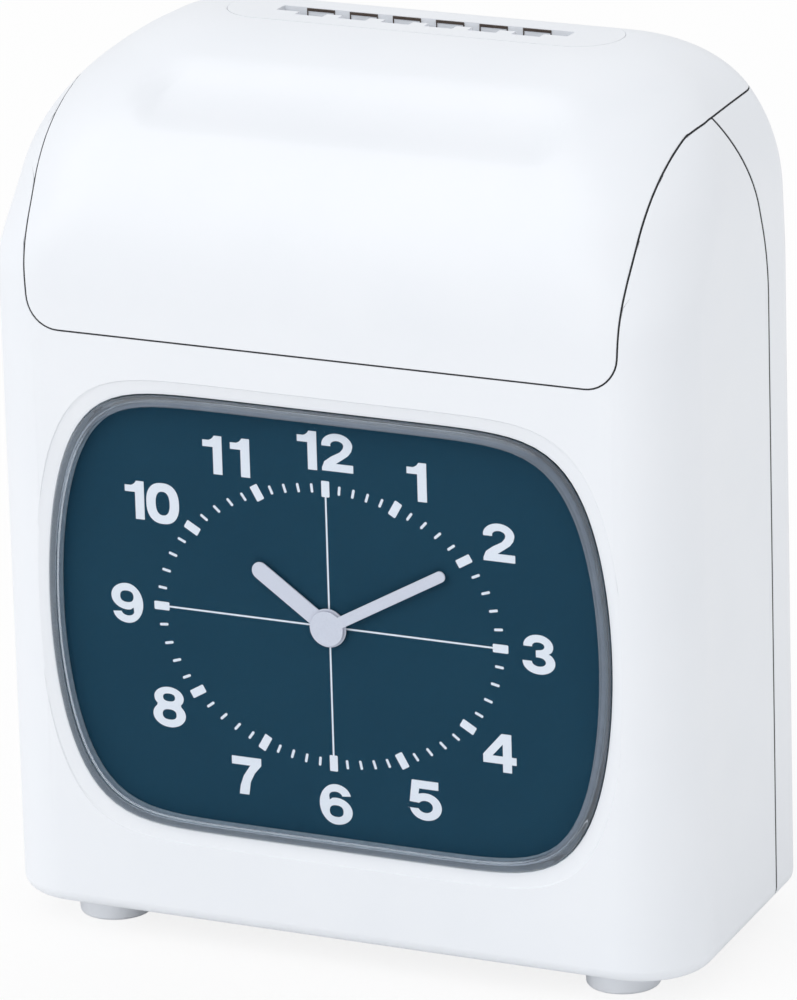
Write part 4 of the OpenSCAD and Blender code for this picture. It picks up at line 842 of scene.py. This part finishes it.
# Card stop: the carrier that sets the card's height, with the screw and the rod that it rides on.
# Black moulded plastic on ground steel.
finished("card_stop", black_plastic, 0.5 * MM)
for node in ("stop_screw", "stop_guide_rod"):
    finished(node, ground_steel, 0.2 * MM)

# Control board: a board with two chips, a connector and three capacitors, on the chassis's standoffs.
# Glass-fibre laminate under green lacquer, with copper tracks; the parts on it are black mouldings.
board_face = 37.75 * MM
# Lacquered board: tracks 2.4 mm apart show paler through the lacquer; what stands above the face is black.
lacquered_board = new_finish("lacquered_board")
place = own_space(lacquered_board)
depth = add_node(lacquered_board, "SeparateXYZ", {"Vector": place}).outputs["Y"]
above = reckoned(lacquered_board, "GREATER_THAN", depth, board_face)
upright = add_node(lacquered_board, "Mapping", {"Vector": place, "Rotation": (math.pi / 2, 0, 0)})
tracks = add_node(lacquered_board, "TexBrick", {
    "Vector": upright.outputs["Vector"], "Scale": 1, "Brick Width": 14 * MM, "Row Height": 2.4 * MM,
    "Mortar Size": 0.25 * MM, "Mortar": linear("#3F8A55"),
    "Color1": linear("#17623C"), "Color2": linear("#145A36")})
coat(lacquered_board, {
    "Base Color": blend(lacquered_board, above, tracks.outputs["Color"], "#1F2124"), "Roughness": 0.35})
finished("control_board", lacquered_board, 0.2 * MM)

# Transformer: a laminated core round a taped coil, on the shelf of the chassis.
# Stamped iron sheets, varnished, with a coil under yellow tape.
core_low, core_high = 21.4 * MM, 47.6 * MM
# Varnished laminations: dark sheets 0.7 mm thick seen on edge; tape above and below the core.
# Two sheets make one wave of the pattern, which at a scale of 1 repeats every 0.314 m.
sheet_pair, wave_period = 1.4 * MM, 0.314
laminations = new_finish("varnished_laminations")
place = own_space(laminations)
height = add_node(laminations, "SeparateXYZ", {"Vector": place}).outputs["Z"]
sheets = add_node(laminations, "TexWave", {
    "Vector": place, "Scale": wave_period / sheet_pair, "Distortion": 0.2}, bands_direction="Y")
iron = blend(laminations, sheets.outputs["Fac"], "#33363C", "#4A4E55")
taped = reckoned(laminations, "MAXIMUM", reckoned(laminations, "GREATER_THAN", height, core_high),
                 reckoned(laminations, "LESS_THAN", height, core_low))
coat(laminations, {"Base Color": blend(laminations, taped, iron, "#C9A544"), "Roughness": 0.45})
finished("transformer", laminations, 0.4 * MM)

# Back fittings: the wall plate with its keyholes, the cord gland and the four screws of the casing.
# The plate is zinc-plated sheet riveted behind a window in the back; the gland is soft black plastic.
finished("wall_plate", zinc_steel, 0.2 * MM)
finished("cord_gland", black_plastic, 0.5 * MM)
finished("case_screws", zinc_steel, 0.2 * MM)

# Lock: the cam lock in the left side that keeps the hood shut.
# A plated barrel with a raised rim, and a brass plug with the keyway.
finished("lock_barrel", ground_steel, 0.3 * MM)
finished("lock_plug", brass, 0.2 * MM)

# Setting buttons: three white buttons on a black panel under the apron.
# White ABS caps with round corners, sprung in their holes; the panel is black moulded plastic.
finished("switch_panel", black_plastic, 0.4 * MM)
for node in ("set_button_left", "set_button_middle", "set_button_right"):
    finished(node, white_abs, 0.5 * MM)

# Hinge: a pin hinge along the back, with one leaf on the casing and one on the hood.
# Stamped steel leaves with rolled knuckles, zinc-plated, on a ground steel pin.
for node in ("case_hinge_leaf", "cover_hinge_leaf"):
    finished(node, zinc_steel, 0.15 * MM)
finished("hinge_pin", ground_steel, 0.2 * MM)

# Hood: the hinged upper moulding, with a front apron that reaches down to the window.
# White ABS, with a shallow scoop pressed across its slope and an opening for the slot guide.
# It is the casing form inside the seams, and its edges are slightly rounded by the mould.
scoop_r, scoop_half, scoop_steep, scoop_blend = 34 * MM, 56 * MM, 1.8, 2 * MM
scoop_y, scoop_z = -39.76 * MM, 264.17 * MM
slot_y = 25 * MM
guide_len, guide_w, guide_gap = 118 * MM, 24 * MM, 0.1 * MM
hood_steps, hood_edge, hood_sliver = 90, 0.14 * MM, 0.1 * MM


def scooped(point, t):
    """Moves a point towards the axis of the front arc, so that the scoop dents the casing with a soft rim."""
    centre = Vector((front_y + front_arc, arc_z))
    ray = Vector((point.y, point.z)) - centre
    reach = ray.length
    if ray.y <= 0 or reach == 0:
        return point
    ray.normalize()
    to_scoop = Vector((scoop_y, scoop_z)) - centre
    along = ray.dot(to_scoop)
    radius = (scoop_r + t) ** 2 - (scoop_steep * max(0, abs(point.x) - scoop_half)) ** 2
    inside = along ** 2 - to_scoop.length_squared + radius
    if inside <= 0:
        return point
    dent = along - math.sqrt(inside)
    mixed = max(scoop_blend - abs(reach - dent), 0) / scoop_blend
    reach = min(reach, dent) - mixed ** 2 * scoop_blend / 4
    return Vector((point.x, centre.x + ray.x * reach, centre.y + ray.y * reach))


def stadium(name, length, width, z0, z1, steps=24):
    """Upright solid with round ends, centred on the slot."""
    r = width / 2
    outline = (arc(length / 2 - r, slot_y, r, r, -90, 90, steps)
               + arc(r - length / 2, slot_y, r, r, 90, 270, steps))
    return prism(name, [(x, y, z0) for x, y in outline], (0, 0, z1 - z0))


hood = loaf("hood", 0, wall, front_steps=hood_steps, rise_steps=hood_steps, press=scooped)
cut(hood, hood_region(-seam / 2), "INTERSECT")
cut(hood, block("hinge_groove", *groove))
cut(hood, stadium("guide_opening", guide_len + 2 * guide_gap, guide_w + 2 * guide_gap,
                  case_h - past, case_h + past))
drop_slivers(hood)
soften(hood, hood_edge, sliver=hood_sliver)
dress(hood, white_abs)
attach(hood, "cover")
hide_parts("top_cover")

# Slot guide: the insert in the crest that leads the card into the slot, with six finger notches in its lip.
# White ABS, pushed up through the opening until its flange meets the hood.
slot_len, slot_gap = 88 * MM, 5 * MM
guide_wall, throat_wall, throat_z, throat_top = 2.4 * MM, 1.4 * MM, 233.5 * MM, case_h - 1 * MM
flange_z, flange_t, flange_out = 245.7 * MM, 2 * MM, (2.5 * MM, 1 * MM)
notch_count, notch_w, notch_pitch, notch_deep, notch_drop = 6, 8.5 * MM, 13.1 * MM, 3 * MM, 2 * MM
notch_xs = [(i - (notch_count - 1) / 2) * notch_pitch for i in range(notch_count)]

guide = stadium("card_guide", guide_len, guide_w, flange_z - flange_t, case_h + past / 2)
cut(guide, stadium("flange", guide_len + 2 * flange_out[0], guide_w + 2 * flange_out[1],
                   flange_z - flange_t, flange_z), "UNION")
cut(guide, stadium("hollow", guide_len - 2 * guide_wall, guide_w - 2 * guide_wall,
                   flange_z - past, case_h - guide_wall))
cut(guide, block("throat", (-slot_len / 2 - throat_wall, slot_y - slot_gap / 2 - throat_wall, throat_z),
                 (slot_len / 2 + throat_wall, slot_y + slot_gap / 2 + throat_wall, throat_top)), "UNION")
cut(guide, block("slot", (-slot_len / 2, slot_y - slot_gap / 2, throat_z - past),
                 (slot_len / 2, slot_y + slot_gap / 2, case_h + past)))
cut(guide, loaf("crest", 0), "INTERSECT")
for x in notch_xs:
    cut(guide, block("notch", (x - notch_w / 2, slot_y - slot_gap / 2 - notch_deep, case_h - notch_drop),
                     (x + notch_w / 2, slot_y, case_h + past)))
smooth(guide)
dress(guide, white_abs)
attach(guide, "cover")
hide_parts("slot_guide")

# Slot shade strips: six bent dark strips on the back wall of the slot, seen through the notches;
# they are painted shade for the shadow inside the slot. Each is modelled once and copied.
strip_w, strip_t, strip_top, strip_leg = 8.5 * MM, 0.25 * MM, case_h - 0.15 * MM, 3.4 * MM
strip_bar, strip_side, strip_foot = 0.8 * MM, 0.3 * MM, (0.9 * MM, 0.5 * MM)
strip_edge = 0.06 * MM
slot_back = slot_y + slot_gap / 2
shade_strip = block("shade_strip", (-strip_w / 2, slot_back - strip_t, strip_top - strip_bar),
               (strip_w / 2, slot_back, strip_top))
for side in (-1, 1):
    edge = side * strip_w / 2
    inner, toe = edge - side * strip_side, edge - side * strip_foot[0]
    cut(shade_strip, block("leg", (min(edge, inner), slot_back - strip_t, strip_top - strip_leg),
                      (max(edge, inner), slot_back, strip_top - strip_bar / 2)), "UNION")
    cut(shade_strip, block("toe", (min(edge, toe), slot_back - strip_t, strip_top - strip_leg),
                      (max(edge, toe), slot_back, strip_top - strip_leg + strip_foot[1])), "UNION")
soften(shade_strip, strip_edge)

# Painted shade for the shadow inside the slot: a dark brown, a little uneven, with a dull sheen.
slot_shade_brown = mottled("painted_slot_shade", "#3A2F2A", "#54463D", 3 * MM, {"Roughness": 0.5}, detail=3)
dress(shade_strip, slot_shade_brown)
for i, x in enumerate(notch_xs):
    select_only(shade_strip)
    bpy.ops.object.duplicate()
    copy = bpy.context.object
    copy.name = "slot_shade_strip_%d" % (i + 1)
    copy.location.x = x
    bpy.ops.object.transform_apply()
    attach(copy, "cover")
bpy.data.objects.remove(shade_strip)

# Seam shades: dark strips in the seams round the hood and between the two cases, painted shade for the
# shadow in the gaps. They sit just below the casing's surface, so each seam shows as a thin dark line.
seam_shade_depth, seam_shade_play = 0.15 * MM, 0.02 * MM
hood_seam_shade = loaf("hood_seam_shade", seam_shade_depth, wall)
cut(hood_seam_shade, hood_region(seam / 2 - seam_shade_play), "INTERSECT")
cut(hood_seam_shade, hood_region(seam_shade_play - seam / 2))
cut(hood_seam_shade, block("hinge_groove", *groove))
split_seam_shade = loaf("split_seam_shade", seam_shade_depth, wall)
cut(split_seam_shade, split_region(split_seam / 2 - seam_shade_play), "INTERSECT")
cut(split_seam_shade, split_region(seam_shade_play - split_seam / 2))
cut(split_seam_shade, hood_region(seam / 2))

# Painted shade for the shadow in the seams: dull and dark, in cells drawn at 0.8 mm.
seam_shade_black = mottled("painted_seam_shade", "#1A1C1F", "#2A2D31", 0.8 * MM, {"Roughness": 0.9}, cells=True)
for seam_shade in (hood_seam_shade, split_seam_shade):
    smooth(seam_shade)
    dress(seam_shade, seam_shade_black)
    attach(seam_shade, "casing")

# Studio: a plain pale floor, soft lamps and the camera of the photograph.
# The floor is matt white paper, with a glow for the camera alone that keeps it nearly white.
floor_size, floor_glow, world_light = 12, 0.84, 0.77
bpy.ops.mesh.primitive_plane_add(size=floor_size)
floor = bpy.context.object
floor.name = "floor"
paper = new_finish("white_paper")
surface = add_node(paper, "BsdfPrincipled", {"Base Color": linear("#F6F6F6"), "Roughness": 0.9})
glow = add_node(paper, "Emission", {"Color": (1, 1, 1, 1), "Strength": 1})
path = add_node(paper, "LightPath", {})
layered(paper, reckoned(paper, "MULTIPLY", path.outputs["Is Camera Ray"], floor_glow), surface, glow)
dress(floor, paper)

world = bpy.data.worlds.new("studio")
bpy.context.scene.world = world
world.use_nodes = True
world.node_tree.nodes["Background"].inputs["Color"].default_value = (1, 1, 1, 1)
world.node_tree.nodes["Background"].inputs["Strength"].default_value = world_light

lamps = {"key": ((-0.42, -0.62, 0.66), 0.95, 60), "fill": ((0.7, 0.2, 0.7), 0.2, 90)}
for name, (direction, energy, spread) in lamps.items():
    bpy.ops.object.light_add(type="SUN", rotation=Vector(direction).to_track_quat("Z", "Y").to_euler())
    lamp = bpy.context.object
    lamp.name = name
    lamp.data.energy = energy
    lamp.data.angle = math.radians(spread)

view_azimuth, view_elevation, view_roll = math.radians(25.905), math.radians(17.843), math.radians(-1.626)
view_distance = 2.2226
view_target = Vector((-6.06, 12.56, 116.69)) * MM
backward = Vector((math.sin(view_azimuth) * math.cos(view_elevation),
                   -math.cos(view_azimuth) * math.cos(view_elevation), math.sin(view_elevation)))
level = Vector((math.cos(view_azimuth), math.sin(view_azimuth), 0))
upward = backward.cross(level)
right = math.cos(view_roll) * level + math.sin(view_roll) * upward
upward = math.cos(view_roll) * upward - math.sin(view_roll) * level
bpy.ops.object.camera_add()
camera = bpy.context.object
camera.data.lens, camera.data.sensor_width = 288, 36
camera.data.clip_end = 50
camera.matrix_world = Matrix.Translation(view_target + backward * view_distance) @ Matrix(
    (right, upward, backward)).transposed().to_4x4()
bpy.context.scene.camera = camera
bpy.context.scene.view_settings.view_transform = "Standard"
